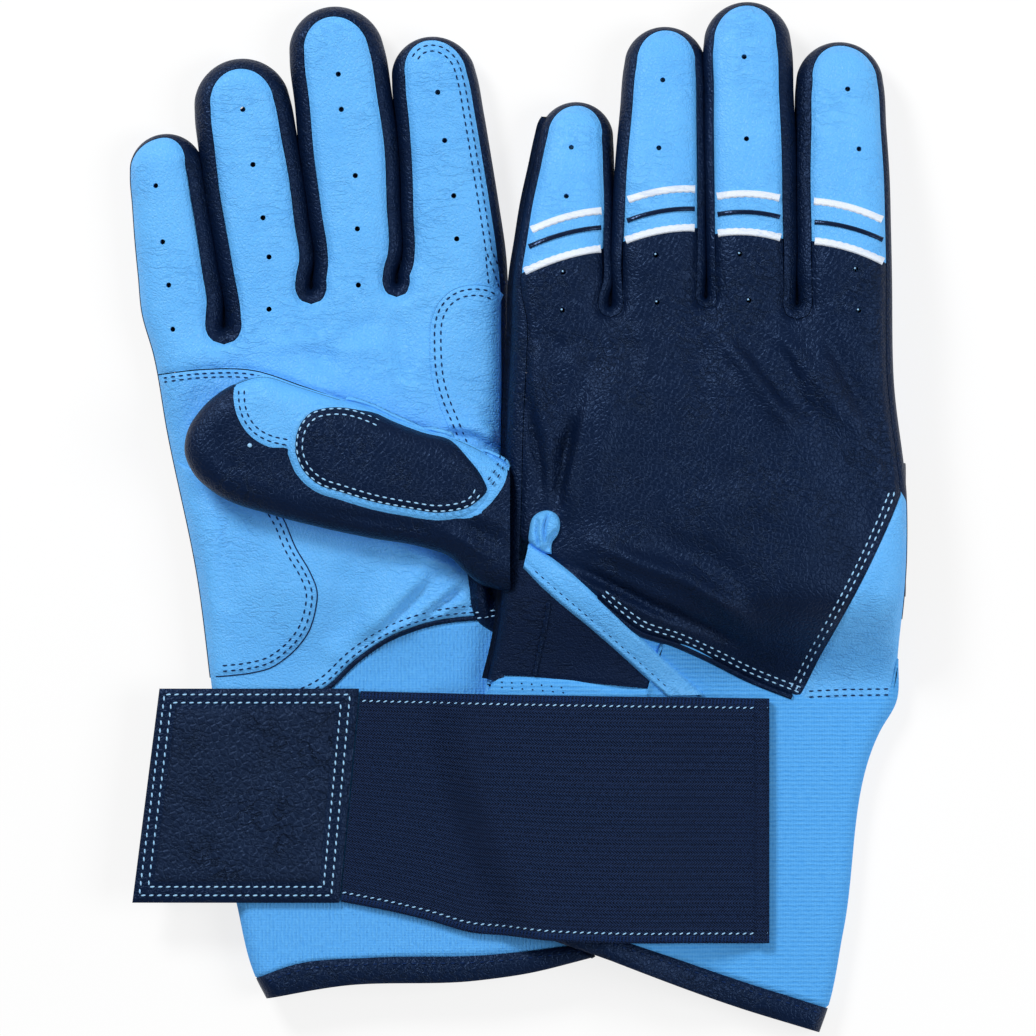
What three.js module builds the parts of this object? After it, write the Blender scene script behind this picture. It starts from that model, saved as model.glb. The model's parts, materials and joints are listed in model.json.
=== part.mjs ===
// A matched pair of long-cuff batting gloves, laid side by side: the right glove palm up, the left glove
// back up, and the left glove's wide wrist strap across both cuffs.
// Millimetres. X runs to the right, Y towards the fingertips and Z up from the table.
import * as THREE from "three";

// Thicknesses and clearances
const LEATHER = 1.2;
const KNIT = 1.1;
const ELASTIC = 1.6;
const TAB_THICK = 2.2;
const GAP = 0.35;
const HINGE_GAP = 0.5;
const EDGE_GAP = 0.7;
const HEM_GAP = 0.5;
const STRAP_GAP = 0.7;
const FINGER_CLEARANCE = 0.6;

// Heights of the stuffed leather and of the flat knit cuffs
const HAND_THICK = 13;
const CUFF_THICK = 7;
const THUMB_THICK = 10.6;
const PALM_CROWN = 3;
const CROWN_DEPTH = [6, 30];
const ON_EDGE = 0.01;
const THIN_FROM = -16;
const THIN_TO = -45;

// How far each glove is held off the table
const RIGHT_CUFF_LIFT = 4.5;
const LEFT_HAND_LIFT = 11.9;
const LEFT_CUFF_LEVEL = [22, 60];
const LEFT_WRIST_DROP = [-20, -46];
const STRAP_LEVEL = [26, 64];

// How each piece is divided: places along a side, across a wall and across a face
const SIDE_STATIONS = [0, 0.26, 0.52, 0.78, 1];
const CAP_ANGLES = [35, 60, 80, 100, 120, 145];
const WALL_SHARES = [1, 0.35, 0];
const FACE_SHARES = [0, 0.14, 0.5, 0.86, 1];
const CROTCH_DROP = 7.4;
const CROTCH_ANGLES = [180, 120, 60, 0];
const PANEL_ROWS = 4;
const HEEL_ROWS = 6;
const CORNER_ROWS = 5;
const SLIT_ROWS = 2;
const PALM_SHARES = [0, 0.02, 0.06, 0.22, 0.38, 0.48, 0.58, 0.7, 0.85, 0.966, 0.983, 1];
const BACK_SHARES = [0, 0.02, 0.06, 0.2, 0.36, 0.4, 0.5, 0.61, 0.68, 0.75, 0.86, 0.966, 0.983, 1];
const SLIT_SHARES = [0.05, 0.11, 0.2, 0.28, 0.34];
const CUFF_ROWS = 5;
const STRIP_ROWS = 6;

// How far the faces stop short of each finger's outline: little side, index side, tip
const PALM_SEAMS = {
  little: { left: 1.0, right: 4.7, tip: 1.0 },
  ring: { left: 4.4, right: 4.2, tip: 2.8 },
  middle: { left: 4.0, right: 4.0, tip: 2.8 },
  index: { left: 3.6, right: 2.4, tip: 1.0 },
};
const BACK_SEAMS = {
  little: { left: 2.2, right: 3.0, tip: 1.0 },
  ring: { left: 3.2, right: 2.7, tip: 1.0 },
  middle: { left: 2.6, right: 4.0, tip: 1.0 },
  index: { left: 4.3, right: 1.6, tip: 1.0 },
};
const PALM_EDGE_SEAM = 1.0;
const BACK_EDGE_SEAM = 4.6;
const INDEX_EDGE_SEAM = 1.8;

// Seams across the hand, the same on both gloves: [share of the width from the little side, Y]
const CROSS_SEAM = [[0, 38.4], [0.14, 39.8], [0.27, 39.6], [0.42, 35], [0.68, 26], [0.85, 21.4], [1, 19.4]];
const PALM_WRIST = [[0, -45.6], [0.38, -46.2], [0.48, -39], [0.58, -33.6], [0.7, -29.6], [0.966, -27],
  [1, -27]];
const BACK_EDGE = [[0, -4.2], [0.11, -9.9], [0.34, -31.4], [0.61, -42.8], [0.75, -48.4], [1, 10]];
const SLIT_EDGE = [[0, -11.6], [0.05, -14], [0.37, -44.4]];
const BACK_WRIST = [[0, -45.6], [0.36, -46.6], [0.4, -36.2], [0.61, -43.6], [0.75, -49.2], [0.966, -49.8],
  [0.983, -27], [1, -27]];
const CORNER_FROM = 0.762;
const CORNER_TO = 0.98;
const CORNER_GAP = 1;

// One glove's fingers: hinge centre, tip, sideways bow, and half widths at the root, middle and end
const RIGHT_FINGERS = {
  little: { hinge: [-90.5, 56.6], tip: [-96.1, 103.3], bow: 0, half: [10.9, 10.5, 9.6] },
  ring: { hinge: [-68, 66.8], tip: [-76.4, 123.5], bow: 0, half: [12.8, 13.5, 12.6] },
  middle: { hinge: [-43.4, 69], tip: [-51, 137.6], bow: 1, half: [11.7, 13.2, 12.4] },
  index: { hinge: [-17.8, 70.1], tip: [-24.6, 129.5], bow: 0.8, half: [13.9, 12.2, 11] },
};
const LEFT_FINGERS = {
  little: { hinge: [11.9, 63.3], tip: [16.3, 111.9], bow: 0, half: [13.2, 12, 9.6] },
  ring: { hinge: [37.3, 65.5], tip: [39.7, 132.2], bow: 0, half: [12.7, 12.2, 10.6] },
  middle: { hinge: [62.5, 66.3], tip: [61.3, 138.9], bow: 0, half: [12, 12.2, 11.4] },
  index: { hinge: [87.2, 64.1], tip: [86.1, 128.1], bow: 0, half: [12.5, 12.5, 11.4] },
};

// The gloves' side edges from the finger hinges to the hem, [X, Y], and their hems, [share, Y]
const RIGHT_GLOVE = {
  name: "right",
  upper: "palm",
  fingers: RIGHT_FINGERS,
  slitEnds: [[-79.4, 51.2], [-55.9, 61.6], [-32.9, 63.2]],
  leftEdge: [[-98.6, 43.9], [-95, 23.6], [-86.7, -16.9], [-82.9, -46.6], [-75.9, -104.6],
    [-70.7, -124.3], [-68, -129.5]],
  rightEdge: [[-2.9, 45], [-3, 0], [-2, -22], [0.3, -46.6], [19.7, -116.8], [20.6, -118.2]],
  hemTop: [[0, -124.3], [0.14, -120.3], [0.35, -118.7], [0.67, -118.1], [1, -114.9]],
  hemEnd: [[0, -129.5], [0.25, -126], [0.65, -124.6], [0.8, -122.7], [1, -118.2]],
};
const LEFT_GLOVE = {
  name: "left",
  upper: "back",
  fingers: LEFT_FINGERS,
  slitEnds: [[24.5, 56.8], [50.2, 58.9], [74.6, 57.2]],
  leftEdge: [[-2.2, 50.6], [-3.5, 23.6], [-4.2, -2.8], [-5.9, -30.6], [-9.8, -49.3],
    [9, -113.5], [10.5, -119]],
  rightEdge: [[100.6, 37.1], [104.2, 3.4], [104.2, -10.1], [102.3, -37], [101.7, -50],
    [97.5, -57.4], [87.5, -111.4], [83.2, -132.6], [81, -138.8]],
  hemTop: [[0, -107.2], [0.66, -125.1], [1, -132.6]],
  hemEnd: [[0, -113.6], [0.66, -131.9], [1, -138.8]],
};

// The folded thumb on the right palm, from root to tip: [X, Y of its upper edge, Y of its lower edge]
const THUMB_STATIONS = [[-5.2, 17.8, -16.4], [-18.7, 21.7, -10.7], [-32.2, 26.1, -6.9], [-48.4, 32, -3.7],
  [-61.8, 36.1, -0.4], [-72.6, 37, 3.1], [-82, 31.5, 6.9], [-87.4, 25, 12.3]];
const THUMB_SHARES = [0, 0.08, 0.24, 0.5, 0.76, 0.92, 1];
const LEFT_THUMB_SHIFT = 106.3;
const THUMB_SPACE = 0.4;
const THUMB_PATCH = { x: -36.5, y: 9.6, long: 26, wide: 12.6, turn: -16, thick: 1.4 };

// The strap: places along the band as [X, Y of its upper edge, Y of its lower edge], then its tab's corners
const BAND_STATIONS = [[67.4, -48.7, -114.6], [60, -48.6, -114.6], [46, -48.3, -114.4], [33, -48.1, -114.3],
  [20, -47.9, -114], [8, -47.7, -113.5], [-3, -47.5, -112.4], [-12.7, -47.3, -111.6], [-24, -47.1, -108.4],
  [-34, -46.9, -106]];
const BAND_STEP = 0.8;
const BAND_SHARES = [0, 0.34, 0.67, 1];
const TAB = { right: [[-43, -46], [-48.3, -103.6]], left: [[-96.7, -46], [-104, -103.6]] };
const STEP_OUTSIDE = [16, 2];
const TAB_DROOP = 2.4;
const TAB_FLAT_TO = 0.4;
const TAB_SHARES = [0, 0.25, 0.5, 0.75, 1];

// The right glove's own strap, folded double under its cuff
const HIDDEN_STRAP = { root: -9, fold: -95.5, end: -66.4, tabEnd: -9.4, top: -51, bottom: -103 };

// Colours
const SKY = 0x5fb0f2;
const NAVY = 0x14223c;
const KNIT_SKY = 0x58abf0;

const FINGER_NAMES = ["little", "ring", "middle", "index"];
const pair = new THREE.Group();

// Adds a named piece in its own colour
function addPiece(name, geometry, color, roughness = 0.6) {
  const mesh = new THREE.Mesh(geometry, new THREE.MeshStandardMaterial({ color, roughness, metalness: 0 }));
  mesh.name = name;
  pair.add(mesh);
}

// The value at x of a line drawn through [x, value] points
function along(points, x) {
  const last = points.length - 1;
  const next = points.findIndex(([at]) => x <= at);
  if (next === 0) return points[0][1];
  if (next < 0) return points[last][1];
  const [x0, y0] = points[next - 1];
  const [x1, y1] = points[next];
  return THREE.MathUtils.mapLinear(x, x0, x1, y0, y1);
}

// The X at a given Y of an edge listed from top to bottom
function edgeX(edge, y) {
  const rising = edge.map(([ex, ey]) => [ey, ex]).reverse();
  return along(rising, y);
}

// A closed solid between two grids of points; round joins the last column to the first
function shell(outer, inner, round = false) {
  const rows = outer.length;
  const columns = outer[0].length;
  const points = [...outer.flat(), ...inner.flat()];
  const out = (r, c) => r * columns + (c % columns);
  const into = (r, c) => rows * columns + out(r, c);
  const index = [];
  const quad = (a, b, c, d) => index.push(a, b, c, a, c, d);
  const spans = round ? columns : columns - 1;
  for (let c = 0; c < spans; c += 1) {
    for (let r = 0; r < rows - 1; r += 1) {
      quad(out(r, c), out(r, c + 1), out(r + 1, c + 1), out(r + 1, c));
      quad(into(r, c), into(r + 1, c), into(r + 1, c + 1), into(r, c + 1));
    }
    quad(out(0, c + 1), out(0, c), into(0, c), into(0, c + 1));
    quad(out(rows - 1, c), out(rows - 1, c + 1), into(rows - 1, c + 1), into(rows - 1, c));
  }
  for (let r = 0; !round && r < rows - 1; r += 1) {
    quad(out(r, 0), out(r + 1, 0), into(r + 1, 0), into(r, 0));
    quad(out(r + 1, columns - 1), out(r, columns - 1), into(r, columns - 1), into(r + 1, columns - 1));
  }
  const corner = (i) => new THREE.Vector3(...points[i]);
  let volume = 0;
  for (let i = 0; i < index.length; i += 3) {
    volume += corner(index[i]).dot(corner(index[i + 1]).cross(corner(index[i + 2])));
  }
  if (volume < 0) index.reverse();
  const geometry = new THREE.BufferGeometry();
  geometry.setAttribute("position", new THREE.Float32BufferAttribute(points.flat(), 3));
  geometry.setIndex(index);
  return geometry;
}

// A shell from one grid of places, each place giving its outer and inner point
function skinShell(grid, round = false) {
  return shell(grid.map((row) => row.map((p) => p.outer)), grid.map((row) => row.map((p) => p.inner)), round);
}

// How full a pillow's edge stands at a depth inside its outline, as a share of a quarter circle
function fullness(depth, radius) {
  const share = Math.min(Math.max(depth / radius, 0), 1);
  return Math.sqrt(1 - (1 - share) ** 2);
}

// A point on the skin and the point below it, from a place, its way inwards and its depth inside the outline
function skinPoint(place, inwards, depth, middle, half, side, extra, thick) {
  const full = fullness(depth, half);
  const level = 1 - Math.min(Math.max(depth / half, 0), 1);
  const [x, y] = place;
  const z = middle + side * half * full + extra;
  const [dx, dy] = inwards.map((value) => value * thick * level);
  return { outer: [x, y, z], inner: [x + dx, y + dy, z - side * thick * full] };
}

// The frame of one finger: its hinge, its way to the tip and its way across to the index side
function fingerFrame(finger, lift) {
  const hinge = new THREE.Vector2(...finger.hinge);
  const way = new THREE.Vector2(...finger.tip).sub(hinge);
  const length = way.length();
  way.normalize();
  const across = new THREE.Vector2(way.y, -way.x);
  const end = finger.half[2] - FINGER_CLEARANCE / 2;
  return { ...finger, hinge, way, across, length, end, cap: length - end, lift };
}

// Half the width of a finger at a distance from its hinge
function halfWidth(f, u) {
  const [root, mid, end] = f.half;
  const bend = [[-30, root], [0, root], [f.cap * 0.5, mid], [f.cap, end]];
  return along(bend, u) - FINGER_CLEARANCE / 2;
}

// A point of the finger's skin, u along it and v across it, on the upper (+1) or lower (-1) side
function fingerSkin(f, u, v, side) {
  const over = Math.max(u - f.cap, 0);
  const depth = over > 0 ? f.end - Math.hypot(over, v) : halfWidth(f, u) - Math.abs(v);
  const reach = Math.hypot(over, v) || 1;
  const inwards = f.way.clone().multiplyScalar(-over / reach).addScaledVector(f.across, -v / reach);
  const bow = f.bow * Math.sin((Math.PI * Math.max(u, 0)) / f.length);
  const place = f.hinge.clone().addScaledVector(f.way, u).addScaledVector(f.across, v + bow);
  const middle = HAND_THICK / 2 + f.lift * (1 - Math.max(u, 0) / f.length);
  return skinPoint(place.toArray(), inwards.toArray(), depth, middle, HAND_THICK / 2, side, 0, LEATHER);
}

// Places along one side's seam from hinge to tip, as [u, v], the side being -1 at the left and 1 at the right
function seamSide(f, seams, side, gap) {
  const inset = (side < 0 ? seams.left : seams.right) + gap;
  return SIDE_STATIONS.map((share) => {
    const u = share === 0 ? HINGE_GAP / 2 : share * f.cap;
    return [u, side * (halfWidth(f, u) - inset)];
  });
}

// Places round a seam's rounded end, from left to right
function seamCap(f, seams, gap) {
  const left = f.end - seams.left - gap;
  const right = f.end - seams.right - gap;
  const rise = f.end - seams.tip - gap;
  return CAP_ANGLES.map((degrees) => {
    const angle = THREE.MathUtils.degToRad(degrees);
    const across = (right - left) / 2 - (Math.cos(angle) * (right + left)) / 2;
    return [f.cap + rise * Math.sin(angle), across];
  });
}

// One face of a finger: rows from hinge to tip, columns from the left seam to the right one
function fingerFace(f, seams, side) {
  const left = seamSide(f, seams, -1, GAP / 2);
  const right = seamSide(f, seams, 1, GAP / 2);
  const cap = seamCap(f, seams, GAP / 2);
  const half = cap.length / 2;
  const starts = [...left, ...cap.slice(0, half)];
  const ends = [...right, ...cap.slice(half).reverse()];
  const grid = starts.map(([u, v0], i) => FACE_SHARES.map((share) => {
    const v = THREE.MathUtils.lerp(v0, ends[i][1], share);
    return fingerSkin(f, u, v, side);
  }));
  return skinShell(grid);
}

// The strip round a finger: along its left side, over the tip and back along its right side
function fingerWall(f, upperSeams, lowerSeams) {
  const path = (seams, gap) => [
    ...seamSide(f, seams, -1, gap),
    ...seamCap(f, seams, gap),
    ...seamSide(f, seams, 1, gap).reverse(),
  ];
  const none = { left: 0, right: 0, tip: 0 };
  const outline = path(none, 0);
  const upper = path(upperSeams, -GAP / 2);
  const lower = path(lowerSeams, -GAP / 2);
  const grid = outline.map(([u, v], i) => {
    const between = (seam, share, side) => fingerSkin(
      f,
      THREE.MathUtils.lerp(u, seam[i][0], share),
      THREE.MathUtils.lerp(v, seam[i][1], share),
      side,
    );
    return [
      ...WALL_SHARES.map((share) => between(upper, share, 1)),
      ...WALL_SHARES.slice(0, -1).reverse().map((share) => between(lower, share, -1)),
    ];
  });
  return skinShell(grid);
}

// How far the left glove lies above the table
function leftLift(x, y) {
  const cuff = 1 - THREE.MathUtils.smoothstep(x, ...LEFT_CUFF_LEVEL);
  const drop = THREE.MathUtils.smoothstep(-y, -LEFT_WRIST_DROP[0], -LEFT_WRIST_DROP[1]);
  return LEFT_HAND_LIFT * THREE.MathUtils.lerp(1, cuff, drop);
}

// How far the right glove lies above the table
function rightLift(x, y) {
  return RIGHT_CUFF_LIFT * THREE.MathUtils.smoothstep(-y, -THIN_FROM, -THIN_TO);
}

// The nearest place on a glove's outline: its distance, and the way inwards from it
function nearestEdge(glove, x, y) {
  const point = new THREE.Vector3(x, y, 0);
  const found = new THREE.Vector3();
  let distance = Infinity;
  let inwards = [0, 0];
  [glove.leftEdge, glove.rightEdge, ...glove.slits].forEach((line, at) => {
    for (let i = 0; i < line.length - 1; i += 1) {
      const piece = new THREE.Line3(new THREE.Vector3(...line[i], 0), new THREE.Vector3(...line[i + 1], 0));
      piece.closestPointToPoint(point, true, found);
      const way = point.clone().sub(found);
      if (way.length() >= distance) continue;
      distance = way.length();
      if (distance < ON_EDGE) {
        piece.delta(way);
        way.set(-way.y, way.x, 0).multiplyScalar(at === 0 ? 1 : -1);
      }
      inwards = way.normalize().toArray().slice(0, 2);
    }
  });
  return { distance, inwards };
}

// A point of a glove's hand or cuff skin, on its upper (+1) or lower (-1) side
function handSkin(glove, x, y, side, thick = LEATHER) {
  const edge = nearestEdge(glove, x, y);
  const thin = THREE.MathUtils.smoothstep(-y, -THIN_FROM, -THIN_TO);
  const full = THREE.MathUtils.lerp(HAND_THICK, CUFF_THICK, thin);
  const rise = THREE.MathUtils.smoothstep(edge.distance, ...CROWN_DEPTH);
  const below = THREE.MathUtils.smoothstep(glove.knuckles - y, 0, 26);
  const crown = side > 0 ? PALM_CROWN * rise * below * (1 - thin) : 0;
  const middle = glove.lift(x, y) + full / 2;
  return skinPoint([x, y], edge.inwards, edge.distance, middle, full / 2, side, crown, thick);
}

// X at a share of the width, kept between two insets from the side edges
function shareX(glove, share, y, leftInset, rightInset) {
  const left = edgeX(glove.leftEdge, y);
  const right = edgeX(glove.rightEdge, y);
  const x = THREE.MathUtils.lerp(left, right, share);
  return THREE.MathUtils.clamp(x, left + leftInset, right - rightInset);
}

// A line across the hand, moved along Y
function moved(line, by) {
  return line.map(([share, y]) => [share, y + by]);
}

// A panel between two lines across the hand, over shares of its width
function handPanel(glove, side, shares, top, bottom, insets, rows) {
  const grid = [];
  for (let r = 0; r <= rows; r += 1) {
    grid.push(shares.map((share) => {
      const y = THREE.MathUtils.lerp(along(top, share) - GAP / 2, along(bottom, share) + GAP / 2, r / rows);
      return handSkin(glove, shareX(glove, share, y, ...insets), y, side);
    }));
  }
  return skinShell(grid);
}

// The places round a crotch's end at a distance from its slit, from left to right
function crotchPlaces(end, leftInset, rightInset) {
  return CROTCH_ANGLES.map((degrees) => {
    const angle = THREE.MathUtils.degToRad(degrees);
    const inset = THREE.MathUtils.lerp(leftInset, rightInset, (1 + Math.cos(angle)) / 2);
    return [end[0] + inset * Math.cos(angle), end[1] - inset * Math.sin(angle)];
  });
}

// A place on a finger's hinge line, on the hand's side of it
function hingePlace(f, v) {
  return f.hinge.clone().addScaledVector(f.way, -HINGE_GAP / 2).addScaledVector(f.across, v).toArray();
}

// The shares with the nearest inner one moved onto each corner of a line
function snapped(shares, line) {
  const result = [...shares];
  for (const [corner] of line.slice(1, -1)) {
    let nearest = 1;
    result.slice(1, -1).forEach((share, i) => {
      if (Math.abs(share - corner) < Math.abs(result[nearest] - corner)) nearest = i + 1;
    });
    result[nearest] = corner;
  }
  return result;
}

// The leather of the hand up to the finger hinges, down to a line across it
function knucklePanel(glove, seams, side, bottom, insets) {
  const top = [];
  const bases = [];
  FINGER_NAMES.forEach((name, i) => {
    const f = glove.frames[name];
    const seam = seams[name];
    const w = halfWidth(f, 0);
    const spread = [-(w - seam.left - GAP / 2), 0, w - seam.right - GAP / 2];
    top.push(...spread.map((v) => fingerSkin(f, -HINGE_GAP / 2, v, side)));
    bases.push(null, null, null);
    if (i < 3) {
      const next = seams[FINGER_NAMES[i + 1]];
      const places = crotchPlaces(glove.slitEnds[i], seam.right + GAP / 2, next.left + GAP / 2);
      top.push(...places.map(([x, y]) => handSkin(glove, x, y, side)));
      bases.push(...places.map(([x]) => [x, glove.slitEnds[i][1] - CROTCH_DROP]));
    }
  });
  const count = top.length;
  const [leftLow, rightLow] = glove.lows;
  bases[0] = [edgeX(glove.leftEdge, leftLow) + insets[0], leftLow];
  bases[count - 1] = [edgeX(glove.rightEdge, rightLow) - insets[1], rightLow];
  for (let c = 3; c < count - 1; c += 7) {
    bases[c - 1] = [bases[c][0] - 0.9, bases[c][1]];
    bases[c + 4] = [bases[c + 3][0] + 0.9, bases[c + 3][1]];
  }
  for (let c = 1; c < count; c += 7) {
    bases[c] = bases[c - 1].map((value, axis) => (value + bases[c + 1][axis]) / 2);
  }
  const shares = bases.map(([x, y]) => {
    const left = edgeX(glove.leftEdge, y);
    return (x - left) / (edgeX(glove.rightEdge, y) - left);
  });
  const ends = snapped(shares, bottom);
  const grid = [top];
  for (let r = 0; r <= PANEL_ROWS; r += 1) {
    grid.push(bases.map(([, y], c) => {
      const share = THREE.MathUtils.lerp(shares[c], ends[c], r / PANEL_ROWS);
      const at = THREE.MathUtils.lerp(y, along(bottom, ends[c]) + GAP / 2, r / PANEL_ROWS);
      return handSkin(glove, shareX(glove, share, at, ...insets), at, side);
    }));
  }
  return skinShell(grid);
}

// The rolled strip round the end of the slit between two fingers
function crotchWall(glove, i, upperSeams, lowerSeams) {
  const [nameA, nameB] = FINGER_NAMES.slice(i, i + 2);
  const [a, b] = [glove.frames[nameA], glove.frames[nameB]];
  const half = FINGER_CLEARANCE / 2;
  const path = (left, right) => [
    hingePlace(a, halfWidth(a, 0) - left),
    ...crotchPlaces(glove.slitEnds[i], left + half, right + half),
    hingePlace(b, -(halfWidth(b, 0) - right)),
  ];
  const outline = path(0, 0);
  const upper = path(upperSeams[nameA].right - GAP / 2, upperSeams[nameB].left - GAP / 2);
  const lower = path(lowerSeams[nameA].right - GAP / 2, lowerSeams[nameB].left - GAP / 2);
  const last = outline.length - 1;
  const ends = { 0: [a, 1, nameA, "right"], [last]: [b, -1, nameB, "left"] };
  const place = (q, seam, seams, share, side) => {
    if (!(q in ends)) {
      const [x, y] = outline[q].map((value, axis) => THREE.MathUtils.lerp(value, seam[q][axis], share));
      return handSkin(glove, x, y, side);
    }
    const [f, way, finger, edge] = ends[q];
    const inset = (seams[finger][edge] - GAP / 2) * share;
    return fingerSkin(f, -HINGE_GAP / 2, way * (halfWidth(f, 0) - inset), side);
  };
  const grid = outline.map((_, q) => [
    ...WALL_SHARES.map((share) => place(q, upper, upperSeams, share, 1)),
    ...WALL_SHARES.slice(0, -1).reverse().map((share) => place(q, lower, lowerSeams, share, -1)),
  ]);
  return skinShell(grid);
}

// The strip down one side edge of the hand, from a finger's hinge line to the cuff
function sideStrip(glove, f, way, seams, insets, bottom) {
  const edge = way < 0 ? glove.leftEdge : glove.rightEdge;
  const low = way < 0 ? glove.lows[0] : glove.lows[1];
  const upper = { side: 1, seam: seams[0] - GAP / 2, inset: insets[0] - EDGE_GAP / 2 };
  const lower = { side: -1, seam: seams[1] - GAP / 2, inset: insets[1] - EDGE_GAP / 2 };
  const columns = [
    ...WALL_SHARES.map((share) => ({ ...upper, share })),
    ...WALL_SHARES.slice(0, -1).reverse().map((share) => ({ ...lower, share })),
  ];
  const w = halfWidth(f, 0);
  const grid = [columns.map(({ side, seam, share }) => (
    fingerSkin(f, -HINGE_GAP / 2, way * (w - seam * share), side)))];
  for (let r = 0; r <= STRIP_ROWS; r += 1) {
    const y = THREE.MathUtils.lerp(low, bottom, r / STRIP_ROWS);
    grid.push(columns.map(({ side, inset, share }) => (
      handSkin(glove, edgeX(edge, y) - way * inset * share, y, side))));
  }
  return skinShell(grid);
}

// A tube round the cuff between two pairs of lines across it, upper side first
function cuffTube(glove, upperTop, lowerTop, end, rows, gaps) {
  const palmUp = glove.upper === "palm";
  const [upperShares, lowerShares] = palmUp ? [PALM_SHARES, BACK_SHARES] : [BACK_SHARES, PALM_SHARES];
  const around = [
    ...upperShares.map((share) => ({ share, side: 1, top: upperTop })),
    ...lowerShares.slice(1, -1).reverse().map((share) => ({ share, side: -1, top: lowerTop })),
  ];
  const grid = [];
  for (let r = 0; r <= rows; r += 1) {
    grid.push(around.map(({ share, side, top }) => {
      const y = THREE.MathUtils.lerp(along(top, share) - gaps[0], along(end, share) + gaps[1], r / rows);
      return handSkin(glove, shareX(glove, share, y, 0, 0), y, side, KNIT);
    }));
  }
  return skinShell(grid, true);
}

// One half of the thumb's skin, on its upper (+1) or lower (-1) side
function thumbFace(shift, base, side) {
  const half = THUMB_THICK / 2;
  const tip = THUMB_STATIONS.length - 1;
  const grid = THUMB_STATIONS.map(([x, high, low], i) => THUMB_SHARES.map((share) => {
    const y = THREE.MathUtils.lerp(high, low, share);
    const width = high - low;
    const depth = Math.min(share, 1 - share) * width;
    const near = (tip - i) * half * 0.45 + 0.6;
    const sideways = share < 0.5 ? -1 : 1;
    const inset = Math.min(depth, near);
    const inwards = depth < near ? [0, sideways] : [1, 0];
    const middle = base + half + (side * GAP) / 2;
    return skinPoint([x + shift, y], inwards, inset, middle, half - GAP / 2, side, 0, LEATHER);
  }));
  return skinShell(grid);
}

// The padded oval on the thumb
function thumbPatch(base) {
  const { x, y, long, wide, turn, thick } = THUMB_PATCH;
  const outline = new THREE.Shape().absellipse(0, 0, long, wide, 0, Math.PI * 2);
  const oval = new THREE.Shape(outline.getSpacedPoints(24).slice(0, -1));
  const options = { depth: thick, bevelEnabled: true, bevelThickness: 0.5, bevelSize: 0.8, bevelOffset: -0.8,
    bevelSegments: 1, curveSegments: 1 };
  const geometry = new THREE.ExtrudeGeometry(oval, options);
  geometry.rotateZ(THREE.MathUtils.degToRad(turn));
  geometry.translate(x, y, base + 0.5 + GAP);
  return geometry;
}

// The lowest place where the strap clears what it lies on
function strapLevel(x, y) {
  const overRight = RIGHT_CUFF_LIFT + CUFF_THICK + GAP;
  const raised = LEFT_HAND_LIFT * (1 - THREE.MathUtils.smoothstep(x, ...STRAP_LEVEL));
  const overLeft = CUFF_THICK + STRAP_GAP + raised;
  const edge = edgeX(LEFT_GLOVE.leftEdge, y);
  const step = THREE.MathUtils.smoothstep(x, edge - STEP_OUTSIDE[0], edge - STEP_OUTSIDE[1]);
  return THREE.MathUtils.lerp(overRight, overLeft, step);
}

// The elastic band from its sewn end to the tab
function strapBand() {
  const places = BAND_STATIONS.map(([x, high, low]) => BAND_SHARES.map((share) => {
    const y = THREE.MathUtils.lerp(high, low, share);
    return [x, y, strapLevel(x, y)];
  }));
  places.push(BAND_SHARES.map((share) => {
    const [x, y] = TAB.right[0].map((value, axis) => THREE.MathUtils.lerp(value, TAB.right[1][axis], share));
    return [x + GAP, y - BAND_STEP * (1 - share), strapLevel(x, y)];
  }));
  const raised = places.map((row) => row.map(([x, y, z]) => [x, y, z + ELASTIC]));
  return shell(raised, places);
}

// The leather tab at the band's free end
function strapTab() {
  const [right, left] = [TAB.right, TAB.left];
  const grid = (rise) => TAB_SHARES.map((across) => TAB_SHARES.map((down) => {
    const start = THREE.MathUtils.lerp(right[0][0], right[1][0], down);
    const end = THREE.MathUtils.lerp(left[0][0], left[1][0], down);
    const y = THREE.MathUtils.lerp(right[0][1], right[1][1], down);
    const z = RIGHT_CUFF_LIFT + CUFF_THICK + GAP - TAB_DROOP * Math.max(across - TAB_FLAT_TO, 0) ** 2;
    return [THREE.MathUtils.lerp(start, end, across), y, z + rise];
  }));
  return shell(grid(TAB_THICK), grid(0));
}

// A flat strip of the hidden strap between two X places
function flatStrip(from, to, base, thick) {
  const { top, bottom } = HIDDEN_STRAP;
  const box = new THREE.BoxGeometry(Math.abs(to - from), top - bottom, thick);
  box.translate((from + to) / 2, (top + bottom) / 2, base + thick / 2);
  box.deleteAttribute("normal");
  box.deleteAttribute("uv");
  return box;
}

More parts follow.
